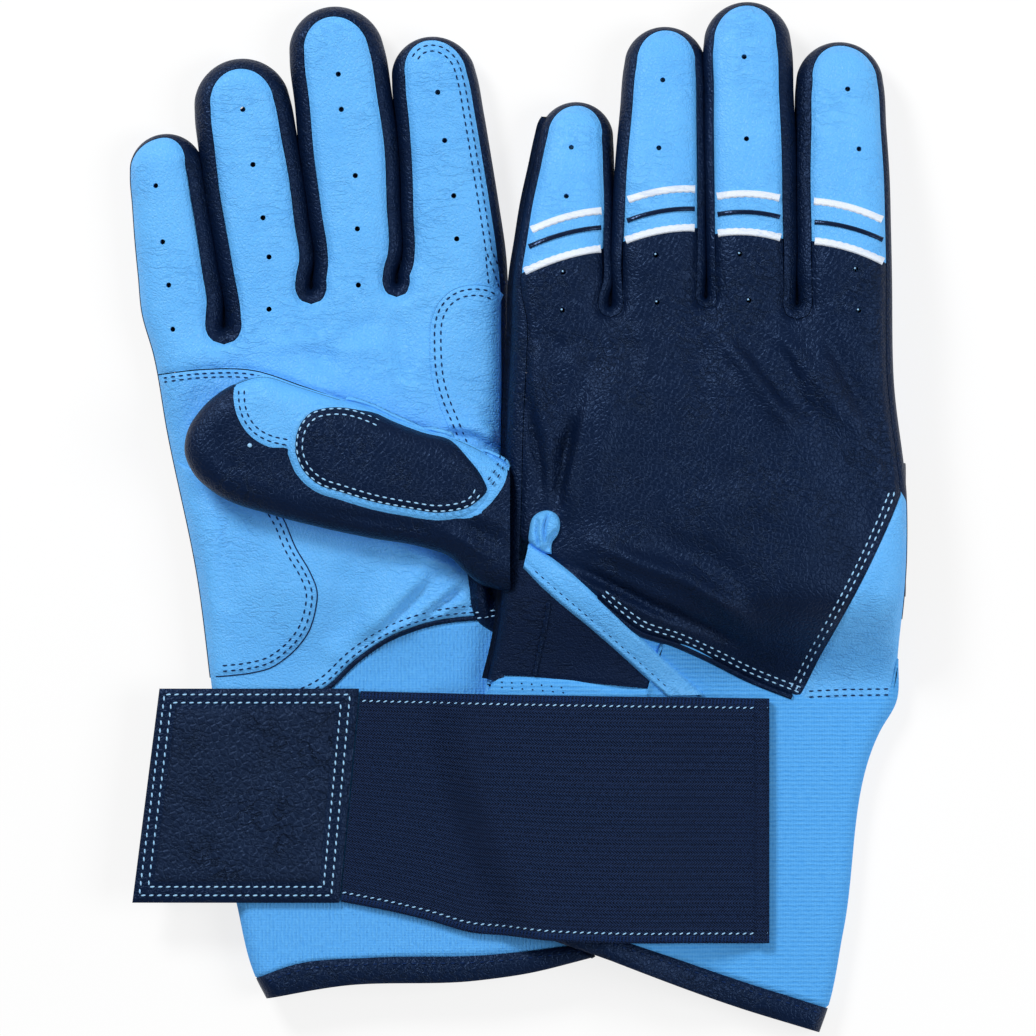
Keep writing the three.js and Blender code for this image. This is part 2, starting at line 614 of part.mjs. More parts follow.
// All the pieces of one glove but its thumb and strap
function addGlove(glove) {
  const palmUp = glove.upper === "palm";
  const [palmSide, backSide] = palmUp ? [1, -1] : [-1, 1];
  const [upperSeams, lowerSeams] = palmUp ? [PALM_SEAMS, BACK_SEAMS] : [BACK_SEAMS, PALM_SEAMS];
  const palmInsets = [PALM_EDGE_SEAM + EDGE_GAP / 2, INDEX_EDGE_SEAM + EDGE_GAP / 2];
  const backInsets = [BACK_EDGE_SEAM + EDGE_GAP / 2, INDEX_EDGE_SEAM + EDGE_GAP / 2];
  const name = (piece) => `${glove.name}_${piece}`;
  glove.frames = {};
  for (const finger of FINGER_NAMES) {
    glove.frames[finger] = fingerFrame(glove.fingers[finger], glove.lift(...glove.fingers[finger].hinge));
  }
  glove.knuckles = Math.min(...FINGER_NAMES.map((finger) => glove.fingers[finger].hinge[1]));
  const [little, index] = [glove.frames.little, glove.frames.index];
  glove.lows = [glove.slitEnds[0][1] - CROTCH_DROP, glove.slitEnds[2][1] - CROTCH_DROP];
  glove.leftEdge.unshift(hingePlace(little, -halfWidth(little, 0)));
  glove.rightEdge.unshift(hingePlace(index, halfWidth(index, 0)));
  glove.slits = glove.slitEnds.map((end, i) => {
    const left = glove.frames[FINGER_NAMES[i]];
    const right = glove.frames[FINGER_NAMES[i + 1]];
    const a = hingePlace(left, halfWidth(left, 0) + FINGER_CLEARANCE / 2);
    const b = hingePlace(right, -(halfWidth(right, 0) + FINGER_CLEARANCE / 2));
    const middle = a.map((value, axis) => (value + b[axis]) / 2);
    return [b[1] > a[1] ? b : a, middle, end];
  });

  for (const finger of FINGER_NAMES) {
    const f = glove.frames[finger];
    addPiece(name(`${finger}_palm_face`), fingerFace(f, PALM_SEAMS[finger], palmSide), SKY);
    addPiece(name(`${finger}_back_face`), fingerFace(f, BACK_SEAMS[finger], backSide), SKY);
    addPiece(name(`${finger}_side_wall`), fingerWall(f, upperSeams[finger], lowerSeams[finger]), NAVY);
  }
  const crotches = ["little_ring", "ring_middle", "middle_index"];
  crotches.forEach((crotch, i) => {
    addPiece(name(`crotch_${crotch}`), crotchWall(glove, i, upperSeams, lowerSeams), NAVY);
  });

  addPiece(name("palm_panel"), knucklePanel(glove, PALM_SEAMS, palmSide, CROSS_SEAM, palmInsets), SKY);
  addPiece(name("back_panel"), knucklePanel(glove, BACK_SEAMS, backSide, BACK_EDGE, backInsets), NAVY);
  const heel = handPanel(glove, palmSide, PALM_SHARES, CROSS_SEAM, PALM_WRIST, palmInsets, HEEL_ROWS);
  addPiece(name("palm_heel"), heel, SKY);
  const shares = [CORNER_FROM, ...BACK_SHARES.filter((share) => share > CORNER_FROM && share < CORNER_TO)];
  const cornerTop = moved(BACK_EDGE, -CORNER_GAP);
  const cornerPanel = handPanel(glove, backSide, shares, cornerTop, BACK_WRIST, backInsets, CORNER_ROWS);
  addPiece(name("wrist_corner_panel"), cornerPanel, SKY);
  const slitTop = moved(BACK_EDGE, -GAP);
  const binding = handPanel(glove, backSide, SLIT_SHARES, slitTop, SLIT_EDGE, backInsets, SLIT_ROWS);
  addPiece(name("slit_binding"), binding, SKY);
  const gusset = handPanel(glove, backSide, SLIT_SHARES, SLIT_EDGE, BACK_WRIST, backInsets, PANEL_ROWS);
  addPiece(name("vent_gusset"), gusset, NAVY, 0.8);

  const sides = [[little, -1, "little", "left", 0], [index, 1, "index", "right", 1]];
  const edgeInsets = [[PALM_EDGE_SEAM, BACK_EDGE_SEAM], [INDEX_EDGE_SEAM, INDEX_EDGE_SEAM]];
  const pieces = ["outer_side_strip", "index_side_strip"];
  sides.forEach(([f, way, finger, edge, share], i) => {
    const seams = [upperSeams[finger][edge], lowerSeams[finger][edge]];
    const insets = palmUp ? edgeInsets[i] : edgeInsets[i].toReversed();
    const bottom = along(PALM_WRIST, share) + GAP / 2;
    addPiece(name(pieces[i]), sideStrip(glove, f, way, seams, insets, bottom), NAVY);
  });

  const tops = palmUp ? [PALM_WRIST, BACK_WRIST] : [BACK_WRIST, PALM_WRIST];
  const sleeve = cuffTube(glove, ...tops, glove.hemTop, CUFF_ROWS, [GAP / 2, HEM_GAP / 2]);
  addPiece(name("cuff_sleeve"), sleeve, KNIT_SKY, 0.9);
  const hem = cuffTube(glove, glove.hemTop, glove.hemTop, glove.hemEnd, 1, [HEM_GAP / 2, 0]);
  addPiece(name("cuff_hem"), hem, NAVY);
}

RIGHT_GLOVE.lift = rightLift;
LEFT_GLOVE.lift = leftLift;
addGlove(RIGHT_GLOVE);
addGlove(LEFT_GLOVE);

const onPalm = HAND_THICK + PALM_CROWN + THUMB_SPACE;
addPiece("right_thumb_back_face", thumbFace(0, onPalm, 1), NAVY);
addPiece("right_thumb_palm_face", thumbFace(0, onPalm, -1), SKY);
addPiece("right_thumb_patch", thumbPatch(onPalm + THUMB_THICK), NAVY);
addPiece("left_thumb_palm_face", thumbFace(LEFT_THUMB_SHIFT, 0, 1), SKY);
addPiece("left_thumb_back_face", thumbFace(LEFT_THUMB_SHIFT, 0, -1), NAVY);

addPiece("left_strap_band", strapBand(), NAVY, 0.85);
addPiece("left_strap_tab", strapTab(), NAVY);
const folded = HIDDEN_STRAP;
addPiece("right_strap_band_inner", flatStrip(folded.root, folded.fold, TAB_THICK + GAP, ELASTIC), NAVY, 0.85);
addPiece("right_strap_band_outer", flatStrip(folded.fold, folded.end - GAP, 0, ELASTIC), NAVY, 0.85);
addPiece("right_strap_tab", flatStrip(folded.end, folded.tabEnd, 0, TAB_THICK), NAVY);

export default pair;
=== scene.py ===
"""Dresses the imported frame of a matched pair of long-cuff batting gloves.

The right glove lies palm up, the left glove back up beside it, and the left glove's wide wrist strap
lies across both cuffs. Lengths are in millimetres until a mesh is made.
"""

import json
import logging
import math
from collections.abc import Callable, Iterable, Sequence
from dataclasses import dataclass, field
from enum import Enum

import bpy
import numpy as np
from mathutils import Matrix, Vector, geometry, kdtree, noise

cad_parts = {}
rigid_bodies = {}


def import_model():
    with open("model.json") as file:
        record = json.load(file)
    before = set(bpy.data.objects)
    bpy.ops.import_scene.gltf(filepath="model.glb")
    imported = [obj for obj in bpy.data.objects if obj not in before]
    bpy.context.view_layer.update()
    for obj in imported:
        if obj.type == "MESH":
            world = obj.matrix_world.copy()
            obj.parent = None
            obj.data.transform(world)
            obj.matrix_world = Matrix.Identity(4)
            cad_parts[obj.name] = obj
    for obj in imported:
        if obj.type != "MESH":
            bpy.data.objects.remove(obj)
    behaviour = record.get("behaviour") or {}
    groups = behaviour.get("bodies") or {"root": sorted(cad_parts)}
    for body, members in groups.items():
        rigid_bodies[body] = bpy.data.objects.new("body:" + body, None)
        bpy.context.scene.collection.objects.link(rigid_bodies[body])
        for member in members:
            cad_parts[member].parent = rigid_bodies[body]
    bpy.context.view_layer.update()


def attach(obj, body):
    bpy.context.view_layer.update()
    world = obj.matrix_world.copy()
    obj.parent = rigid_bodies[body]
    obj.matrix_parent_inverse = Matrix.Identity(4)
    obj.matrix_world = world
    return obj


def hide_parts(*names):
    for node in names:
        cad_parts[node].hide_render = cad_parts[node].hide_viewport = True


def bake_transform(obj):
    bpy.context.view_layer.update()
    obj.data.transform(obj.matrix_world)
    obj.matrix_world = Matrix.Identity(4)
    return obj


LOG = logging.getLogger("gloves")
Array = np.ndarray
MM = 0.001

# The photograph: its width in pixels, the real size of one, and the pixel over the frame's origin
PHOTO_WIDTH = 1036
PIXEL = 0.27
ORIGIN_PIXEL = (519.0, 517.5)

FINGER_NAMES = ("little", "ring", "middle", "index")
CROTCH_NAMES = ("little_ring", "ring_middle", "middle_index")

# Thicknesses and heights, as in the part's source
LEATHER = 1.2
KNIT = 1.1
ELASTIC = 1.6
TAB_THICK = 2.2
HAND_THICK = 13.0
CUFF_THICK = 7.0
PALM_CROWN = 3.0
THUMB_THICK = 10.6
RIGHT_CUFF_LIFT = 4.5
LEFT_HAND_LIFT = 11.9
FINGER_TOUCH = 0.9
SETTLE_SOFTNESS = 0.12
SIDE_SHARES = (0.0, 0.26, 0.52, 0.78)
THUMB_BASE = HAND_THICK + PALM_CROWN + 0.4
LEFT_THUMB_SHIFT = 106.3

# How softly the stuffed leather rounds at its edges, on the hand and on the cuff
HAND_ROUND = 8.5
CUFF_ROUND = 4.2
RIPPLE_HEIGHT = 0.22
WRIST_SLOPE = (16.0, 45.0)
SEAM_GAP = 0.1
PRESSED_BELOW = 1.0
TABLE_GAP = 0.03
MESH_STEP = 1.25
HINGE_REACH = 1e-4
FINGER_BLEND = 11.0
UP = np.array([0.0, 0.0, 1.0])


def from_photo(points: Iterable[Sequence[float]]) -> Array:
    """Turns places in the photograph into places on the table.

    Args:
        points: Pixel places, x to the right and y down.

    Returns:
        The places in millimetres, one row each.
    """
    pixels = np.asarray(list(points), float)
    return np.column_stack(
        ((pixels[:, 0] - ORIGIN_PIXEL[0]) * PIXEL, (ORIGIN_PIXEL[1] - pixels[:, 1]) * PIXEL)
    )


def eased(value: Array | float, low: float, high: float) -> Array:
    """Returns the smooth step of value between low and high."""
    share = np.clip((np.asarray(value, float) - low) / (high - low), 0.0, 1.0)
    return share * share * (3.0 - 2.0 * share)


def mixed(first: Array | float, second: Array | float, share: Array | float) -> Array:
    """Returns the place at a share of the way from first to second."""
    return np.asarray(first) * (1.0 - np.asarray(share)) + np.asarray(second) * np.asarray(share)


def fullness(depth: Array, radius: Array | float) -> Array:
    """Returns how full a pillow stands at a depth inside its edge, from 0 to 1."""
    share = np.clip(depth / radius, 0.0, 1.0)
    return np.sqrt(np.maximum(1.0 - (1.0 - share) ** 2, 0.0))


def dent(away: Array | float, deep: float, wide: float) -> Array:
    """Returns how deep a rounded dent is at a distance from its middle."""
    return deep * np.exp(-((np.asarray(away) / wide) ** 2))


def spline(controls: Array, spacing: float, least: int = 2) -> tuple[Array, Array]:
    """Draws a smooth line through control points.

    Args:
        controls: The points that the line passes, one row each.
        spacing: The wanted distance between the line's points.
        least: The fewest steps from one control point to the next.

    Returns:
        The line's points, and the place of each control point among them.
    """
    points = np.asarray(controls, float)
    gaps = np.linalg.norm(np.diff(points, axis=0), axis=1)
    slopes = np.diff(points, axis=0) / gaps[:, None]
    tangents = np.empty_like(points)
    tangents[0], tangents[-1] = slopes[0], slopes[-1]
    before, after = gaps[:-1, None], gaps[1:, None]
    tangents[1:-1] = (slopes[:-1] * after + slopes[1:] * before) / (before + after)
    line, marks = [], [0]
    for i, gap in enumerate(gaps):
        count = max(least, math.ceil(gap / spacing))
        t = (np.arange(count) / count)[:, None]
        line.append(
            (2 * t**3 - 3 * t**2 + 1) * points[i]
            + (t**3 - 2 * t**2 + t) * gap * tangents[i]
            + (3 * t**2 - 2 * t**3) * points[i + 1]
            + (t**3 - t**2) * gap * tangents[i + 1]
        )
        marks.append(marks[-1] + count)
    line.append(points[-1:])
    return np.vstack(line), np.array(marks)


def run_of(line: Array) -> Array:
    """Returns how far along a line each of its points is."""
    return np.concatenate(([0.0], np.cumsum(np.linalg.norm(np.diff(line, axis=0), axis=1))))


def spread(line: Array, spacing: float) -> Array:
    """Returns the points at an even spacing along a line."""
    run = run_of(line)
    count = max(2, round(run[-1] / spacing) + 1)
    at = np.linspace(0.0, run[-1], count)
    return np.column_stack([np.interp(at, run, line[:, axis]) for axis in range(line.shape[1])])


def curve(controls: Array, spacing: float = 0.8) -> Array:
    """Returns a smooth line through the controls with even spacing."""
    return spread(spline(controls, spacing / 3)[0], spacing)


def closed(loop: Array) -> Array:
    """Returns a loop with its first point again at its end."""
    return np.vstack((loop, loop[:1]))


def unit(ways: Array) -> Array:
    """Returns the rows as unit vectors."""
    return ways / np.maximum(np.linalg.norm(ways, axis=1, keepdims=True), 1e-12)


def resampled(line: Array, count: int) -> Array:
    """Returns a number of places at even steps of a line's point numbers."""
    at = np.linspace(0.0, 1.0, count) * (len(line) - 1)
    return np.column_stack([np.interp(at, np.arange(len(line)), line[:, axis]) for axis in (0, 1)])


def sideways(line: Array) -> Array:
    """Returns the unit vectors to the right of a flat line's course, one for each point."""
    course = unit(np.gradient(line[:, :2], axis=0))
    return np.column_stack((course[:, 1], -course[:, 0]))


def beside(line: Array, distance: Array | float) -> Array:
    """Returns a flat line moved to its right by a distance."""
    return line[:, :2] + sideways(line) * np.broadcast_to(distance, (len(line),))[:, None]


def to_line(points: Array, line: Array) -> Array:
    """Returns each point's distance to a line of short pieces."""
    starts, ways = line[:-1], np.diff(line, axis=0)
    lengths = np.maximum((ways**2).sum(axis=1), 1e-12)
    nearest = np.empty(len(points))
    for low in range(0, len(points), 2000):
        some = points[low : low + 2000, None, :] - starts[None, :, :]
        share = np.clip((some * ways).sum(axis=2) / lengths, 0.0, 1.0)
        away = some - share[:, :, None] * ways
        nearest[low : low + 2000] = np.sqrt((away**2).sum(axis=2).min(axis=1))
    return nearest


def inside(points: Array, loop: Array) -> Array:
    """Returns which points lie inside a closed loop."""
    ends = np.roll(loop, -1, axis=0)
    within = np.zeros(len(points), bool)
    for low in range(0, len(points), 4000):
        x, y = points[low : low + 4000, 0, None], points[low : low + 4000, 1, None]
        spans = (loop[:, 1] > y) != (ends[:, 1] > y)
        rise = np.where(ends[:, 1] == loop[:, 1], 1.0, ends[:, 1] - loop[:, 1])
        crossing = (ends[:, 0] - loop[:, 0]) * (y - loop[:, 1]) / rise + loop[:, 0]
        within[low : low + 4000] = (spans & (x < crossing)).sum(axis=1) % 2 == 1
    return within


def ripple(points: Array, size: float, seed: float) -> Array:
    """Returns smooth noise from -1 to 1 at places in millimetres.

    Args:
        points: The places, one row each.
        size: The width of one ripple.
        seed: Which of the endless patterns to take.
    """
    return np.array([noise.noise(Vector((x / size, y / size, seed))) for x, y in points[:, :2]])


@dataclass(frozen=True)
class Fold:
    """A ridge or crease in the leather, along a line of places."""

    line: tuple[tuple[float, float], ...]
    width: float
    height: float

    def rise(self, points: Array) -> Array:
        """Returns how far the fold lifts each place."""
        path = spread(np.asarray(self.line, float), 2.0)
        ends = np.minimum(
            np.linalg.norm(points - path[0], axis=1), np.linalg.norm(points - path[-1], axis=1)
        )
        length = np.linalg.norm(np.diff(path, axis=0), axis=1).sum()
        away = to_line(points, path)
        return dent(away, self.height, self.width) * eased(ends, -0.5, length * 0.3)


@dataclass
class Frame:
    """One finger's place: its hinge, its way to the tip and its half widths."""

    name: str
    hinge: Array
    tip: Array
    bow: float
    half: tuple[float, float, float]
    lift: float

    def __post_init__(self) -> None:
        """Works out the finger's directions and lengths."""
        way = self.tip - self.hinge
        self.length = float(np.linalg.norm(way))
        self.way = way / self.length
        self.across = np.array([self.way[1], -self.way[0]])
        self.end = self.half[2] + FINGER_TOUCH / 2
        self.cap = self.length - self.end

    def half_width(self, u: Array | float) -> Array:
        """Returns half the finger's width at a distance from its hinge."""
        return np.interp(u, (0.0, self.cap * 0.5, self.cap), self.half) + FINGER_TOUCH / 2

    def bowed(self, u: Array) -> Array:
        """Returns how far the finger's middle bows to the side at a distance from its hinge."""
        return self.bow * np.sin(np.pi * np.clip(u, 0.0, self.length) / self.length)

    def place(self, u: Array | float, v: Array | float) -> Array:
        """Returns the places u along the finger and v across it."""
        u, v = np.broadcast_arrays(np.asarray(u, float), np.asarray(v, float))
        return self.hinge + u[..., None] * self.way + (v + self.bowed(u))[..., None] * self.across

    def local(self, points: Array) -> Array:
        """Returns how far along and across the finger each place is."""
        away = points - self.hinge
        u = away @ self.way
        return np.column_stack((u, away @ self.across - self.bowed(u)))

    def settle(self, points: Array) -> Array:
        """Returns how far the finger's middle has sunk at each place, as a share of its lift."""
        share = np.clip((points - self.hinge) @ self.way / self.length, 0.0, 1.2)
        soft = SETTLE_SOFTNESS
        return (np.sqrt(share**2 + soft**2) - soft) / (math.sqrt(1 + soft**2) - soft)


class Side(Enum):
    """Which side of a lying glove a piece is on."""

    UPPER = 1
    LOWER = -1


@dataclass
class Seams:
    """How far a face stops short of a finger's outline at its little side, index side and tip."""

    left: float
    right: float
    tip: float


PALM_SEAMS = {
    "little": Seams(0.2, 4.7, 1.0),
    "ring": Seams(4.4, 4.2, 2.8),
    "middle": Seams(4.0, 4.0, 2.8),
    "index": Seams(3.6, 2.4, 1.0),
}
BACK_SEAMS = {
    "little": Seams(2.2, 3.0, 1.0),
    "ring": Seams(3.2, 2.7, 1.0),
    "middle": Seams(2.6, 4.0, 1.0),
    "index": Seams(4.3, 1.6, 1.0),
}
PALM_EDGE_SEAM = 0.2
BACK_EDGE_SEAM = 4.6
INDEX_EDGE_SEAM = 1.8
CORNER_EDGE_SEAM = 0.2
CORNER_TOP = 8.0

# Seams across the hand, the same on both gloves: share of the width from the little side, and Y
CROSS_SEAM = ((0, 38.4), (0.14, 39.8), (0.27, 39.6), (0.42, 35), (0.68, 26), (0.85, 21.4), (1, 19.4))
PALM_WRIST = (
    (0, -52), (0.26, -50.5), (0.38, -46), (0.48, -39), (0.58, -33.6), (0.7, -29.6), (0.966, -27), (1, -27),
)
CUFF_TOP = (
    (0, -42.6), (0.2, -43.2), (0.375, -46.2), (0.388, -46.0), (0.396, -34.0), (0.42, -33.4), (0.61, -41.5),
    (0.75, -47.5), (1, -47.5),
)
BACK_CORNER = ((0.757, -49.2), (1, 10))
CORNER_UPPER = ((0.757, -49.3), (1, 9.9))
CORNER_LOWER = ((0.757, -50.2), (0.87, -49.6), (1, -49.4))

# The places round the end of a slit between two fingers, and how far its seams close in on the slit
CROTCH_SHAPE = ((-0.12, 2.0), (-0.1, 0.12), (0, 0), (0.1, 0.12), (0.12, 2.0))
CROTCH_NARROWING = (0.0, 0.05, 0.12)
CROTCH_BELOW = 7.4


def seam_heights(seam: Sequence[tuple[float, float]], shares: Array) -> Array:
    """Returns the Y of a seam across the hand at shares of its width, as a smooth line."""
    line = spline(np.asarray(seam, float) * (100.0, 1.0), 1.0)[0]
    return np.interp(shares, line[:, 0] / 100.0, line[:, 1])


@dataclass
class Outline:
    """The outline of a glove, from the left end of its hem round the fingers to the right end."""

    frames: dict[str, Frame]
    slit_ends: Array
    left_edge: Array
    right_edge: Array
    points: Array = field(init=False)
    inward: Array = field(init=False)
    marks: dict[str, int] = field(init=False)
    sides: list[Array] = field(init=False)

    def __post_init__(self) -> None:
        """Draws the outline and prepares the search for its nearest place."""
        controls: list[Array] = list(self.left_edge[::-1])
        named: dict[int, str] = {}
        for i, name in enumerate(FINGER_NAMES):
            frame = self.frames[name]
            named[len(controls)] = f"{name}_left"
            for share in SIDE_SHARES:
                u = share * frame.cap
                controls.append(frame.place(u, -frame.half_width(u)))
            named[len(controls)] = f"{name}_cap"
            for degrees in range(0, 181, 20):
                angle = math.radians(degrees)
                u = frame.cap + frame.end * math.sin(angle)
                controls.append(frame.place(u, -frame.end * math.cos(angle)))
            for share in SIDE_SHARES[::-1]:
                u = share * frame.cap
                controls.append(frame.place(u, frame.half_width(u)))
            named[len(controls) - 1] = f"{name}_right"
            if i < len(self.slit_ends):
                end = self.slit_ends[i]
                controls.extend(end + place for place in CROTCH_SHAPE)
                named[len(controls) - 3] = f"crotch_{i}"
        controls.extend(self.right_edge)
        self.points, places = spline(np.array(controls), 0.7, 5)
        self.marks = {name: int(places[at]) for at, name in named.items()}
        self.inward = sideways(self.points)
        self.tree = kdtree.KDTree(len(self.points))
        for i, (x, y) in enumerate(self.points):
            self.tree.insert((x, y, 0.0), i)
        self.tree.balance()
        rise = self.points[: self.marks["little_left"] + 1]
        fall = self.points[self.marks["index_right"] :][::-1]
        self.sides = [line[np.argsort(line[:, 1])] for line in (rise, fall)]

    def depth(self, places: Array) -> Array:
        """Returns how far inside the outline each place is."""
        near = np.array([self.tree.find((x, y, 0.0))[1] for x, y in places], int)
        found = np.full(len(places), np.inf)
        for low in (np.maximum(near - 1, 0), np.minimum(near, len(self.points) - 2)):
            start = self.points[low]
            way = self.points[low + 1] - start
            share = ((places - start) * way).sum(axis=1) / np.maximum((way**2).sum(axis=1), 1e-12)
            away = places - start - np.clip(share, 0.0, 1.0)[:, None] * way
            found = np.minimum(found, np.sqrt((away**2).sum(axis=1)))
        return found

    def left(self, y: Array | float) -> Array:
        """Returns the X of the little side's edge at a height on the page."""
        return np.interp(y, self.sides[0][:, 1], self.sides[0][:, 0])

    def right(self, y: Array | float) -> Array:
        """Returns the X of the index side's edge at a height on the page."""
        return np.interp(y, self.sides[1][:, 1], self.sides[1][:, 0])

    def at_share(self, share: Array | float, y: Array | float) -> Array:
        """Returns the places at shares of the width, at heights on the page."""
        share, y = np.broadcast_arrays(np.asarray(share, float), np.asarray(y, float))
        return np.column_stack((mixed(self.left(y), self.right(y), share), y))

    def share_of(self, places: Array) -> Array:
        """Returns the share of the width at which each place is."""
        left, right = self.left(places[:, 1]), self.right(places[:, 1])
        return (places[:, 0] - left) / (right - left)


@dataclass
class Surface:
    """The heights of a lying glove's two sides over the table."""

    outline: Outline
    lift: Callable[[Array], Array]
    knuckles: float
    folds: dict[Side, tuple[Fold, ...]]

    def thinness(self, places: Array) -> Array:
        """Returns how far each place is from the full hand, 0, to the flat cuff, 1."""
        return eased(-places[:, 1], *WRIST_SLOPE)

    def rounding(self, places: Array) -> Array:
        """Returns the width over which the glove rounds at its edge."""
        return mixed(HAND_ROUND, CUFF_ROUND, self.thinness(places))

    def middle(self, places: Array, finger: Frame | None = None) -> Array:
        """Returns the height of the middle between the two sides."""
        full = mixed(HAND_THICK, CUFF_THICK, self.thinness(places))
        lift = self.lift(places)
        if finger is not None:
            lift = finger.lift * (1.0 - finger.settle(places))
        return lift + full / 2

    def height(
        self, places: Array, side: Side, finger: Frame | None = None, depth: Array | None = None
    ) -> Array:
        """Works out the height of one side's skin.

        Args:
            places: Places on the table, one row each.
            side: The side of the glove.
            finger: The finger that the places belong to, where they do.
            depth: The depth inside the outline, where it is known.

        Returns:
            The height over the table at each place.
        """
        if depth is None:
            depth = self.outline.depth(places)
        thin = self.thinness(places)
        half = mixed(HAND_THICK, CUFF_THICK, thin) / 2
        full = fullness(depth, self.rounding(places))
        z = self.middle(places, finger) + side.value * half * full
        if side is Side.UPPER:
            below = eased(self.knuckles - places[:, 1], 0.0, 26.0)
            z = z + PALM_CROWN * eased(depth, 6.0, 30.0) * below * (1.0 - thin)
        soft = eased(depth, 0.6, 5.0)
        folds = sum((fold.rise(places) for fold in self.folds.get(side, ())), np.zeros(len(places)))
        waves = ripple(places, 9.0, side.value * 3.1) + 0.5 * ripple(places, 4.2, side.value * 7.7)
        return z + side.value * soft * (folds + RIPPLE_HEIGHT * (1.0 - thin) * waves)


def pressed(points: Array) -> Array:
    """Returns points with what would sink into the table pressed flat on it."""
    low = points[:, 2] < PRESSED_BELOW
    span = PRESSED_BELOW - TABLE_GAP
    result = points.copy()
    result[low, 2] = TABLE_GAP + span * np.exp((points[low, 2] - PRESSED_BELOW) / span)
    return result


def make_mesh(name: str, points: Array, faces: Sequence[Array], uvs: Array) -> bpy.types.Object:
    """Makes an object of points and faces, in metres.

    Args:
        name: The piece's name.
        points: Its points in millimetres.
        faces: Arrays of triangles or of quads, as rows of point numbers.
        uvs: A flat place for each point, in millimetres.

    Returns:
        The new object, at the origin.
    """
    mesh = bpy.data.meshes.new(name)
    groups = [np.asarray(group, int) for group in faces if len(group)]
    corners = np.concatenate([group.ravel() for group in groups])
    sizes = np.concatenate([np.full(len(group), group.shape[1]) for group in groups])
    mesh.vertices.add(len(points))
    mesh.vertices.foreach_set("co", (pressed(np.asarray(points)) * MM).ravel())
    mesh.loops.add(len(corners))
    mesh.loops.foreach_set("vertex_index", corners)
    mesh.polygons.add(len(sizes))
    mesh.polygons.foreach_set("loop_start", np.concatenate(([0], np.cumsum(sizes)[:-1])))
    mesh.polygons.foreach_set("loop_total", sizes)
    layer = mesh.uv_layers.new(name="Surface")
    layer.uv.foreach_set("vector", (uvs[corners] * MM).ravel())
    mesh.update(calc_edges=True)
    mesh.validate()
    mesh.set_sharp_from_angle(angle=math.pi)
    piece = bpy.data.objects.new(name, mesh)
    bpy.context.scene.collection.objects.link(piece)
    return piece


def point_normals(points: Array, triangles: Array) -> Array:
    """Returns the unit normal at each point of a triangle mesh."""
    a, b, c = (points[triangles[:, i]] for i in range(3))
    faces = np.cross(b - a, c - a)
    normals = np.zeros_like(points)
    for i in range(3):
        np.add.at(normals, triangles[:, i], faces)
    return unit(normals)


def open_edges(triangles: Array) -> Array:
    """Returns the directed edges that only one triangle has."""
    edges = np.vstack((triangles[:, [0, 1]], triangles[:, [1, 2]], triangles[:, [2, 0]]))
    known = {(int(a), int(b)) for a, b in edges}
    return np.array([(a, b) for a, b in edges if (int(b), int(a)) not in known], int)


def thick_skin(
    name: str, points: Array, triangles: Array, thick: float, uvs: Array, joints: Array | None = None
) -> bpy.types.Object:
    """Makes a closed piece of leather from its outer skin.

    Args:
        name: The piece's name.
        points: The outer skin's points.
        triangles: Its triangles, facing out.
        thick: The leather's thickness.
        uvs: A flat place for each point.
        joints: Known normals, as rows of a point number and three numbers, where the skin goes on.

    Returns:
        The new object.
    """
    normals = point_normals(points, triangles)
    if joints is not None and len(joints):
        normals[joints[:, 0].astype(int)] = joints[:, 1:]
    inner = points - normals * thick
    rim = open_edges(triangles)
    count = len(points)
    faces = [triangles, triangles[:, ::-1] + count]
    faces.append(np.column_stack((rim[:, 1], rim[:, 0], rim[:, 0] + count, rim[:, 1] + count)))
    piece = make_mesh(name, np.vstack((points, inner)), faces, np.vstack((uvs, uvs)))
    mesh = piece.data
    corner_points = np.empty(len(mesh.loops), int)
    mesh.loops.foreach_get("vertex_index", corner_points)
    given = np.vstack((normals, -normals))[corner_points]
    given[2 * triangles.size :] = 0.0
    mesh.normals_split_custom_set(given)
    return piece


def strip_faces(rows: int, columns: int, round_way: bool = False) -> Array:
    """Returns the quads of a grid of points, row after row."""
    down = np.arange(rows - 1)[:, None] * columns
    across = np.arange(columns if round_way else columns - 1)[None, :]
    after = (across + 1) % columns
    return np.stack(
        (down + across, down + columns + across, down + columns + after, down + after), axis=-1
    ).reshape(-1, 4)


def as_triangles(quads: Array) -> Array:
    """Returns two triangles for each quad."""
    return np.vstack((quads[:, [0, 1, 2]], quads[:, [0, 2, 3]]))


def grid_skin(
    name: str, grid: Array, thick: float, outward: Array, joints: Array | None = None
) -> bpy.types.Object:
    """Makes a closed piece from a grid of points on its outer skin.

    Args:
        name: The piece's name.
        grid: The points, by row and column.
        thick: The thickness of the skin.
        outward: A direction that points out at the grid's middle.
        joints: Known normals where the skin goes on.

    Returns:
        The new object.
    """
    rows, columns = grid.shape[:2]
    points = grid.reshape(-1, 3)
    triangles = as_triangles(strip_faces(rows, columns))
    centre = rows // 2 * columns + columns // 2
    if point_normals(points, triangles)[centre] @ outward < 0:
        triangles = triangles[:, ::-1]
    over = np.meshgrid(run_of(grid[rows // 2]), run_of(grid[:, columns // 2]))
    uvs = np.column_stack([part.ravel() for part in over])
    return thick_skin(name, points, triangles, thick, uvs, joints)


# How deep inside its edge a filled loop has rings of points, and how far they keep from a hole
RING_DEPTHS = (0.3, 0.75, 1.3, 1.9)
HOLE_MARGIN = 0.35


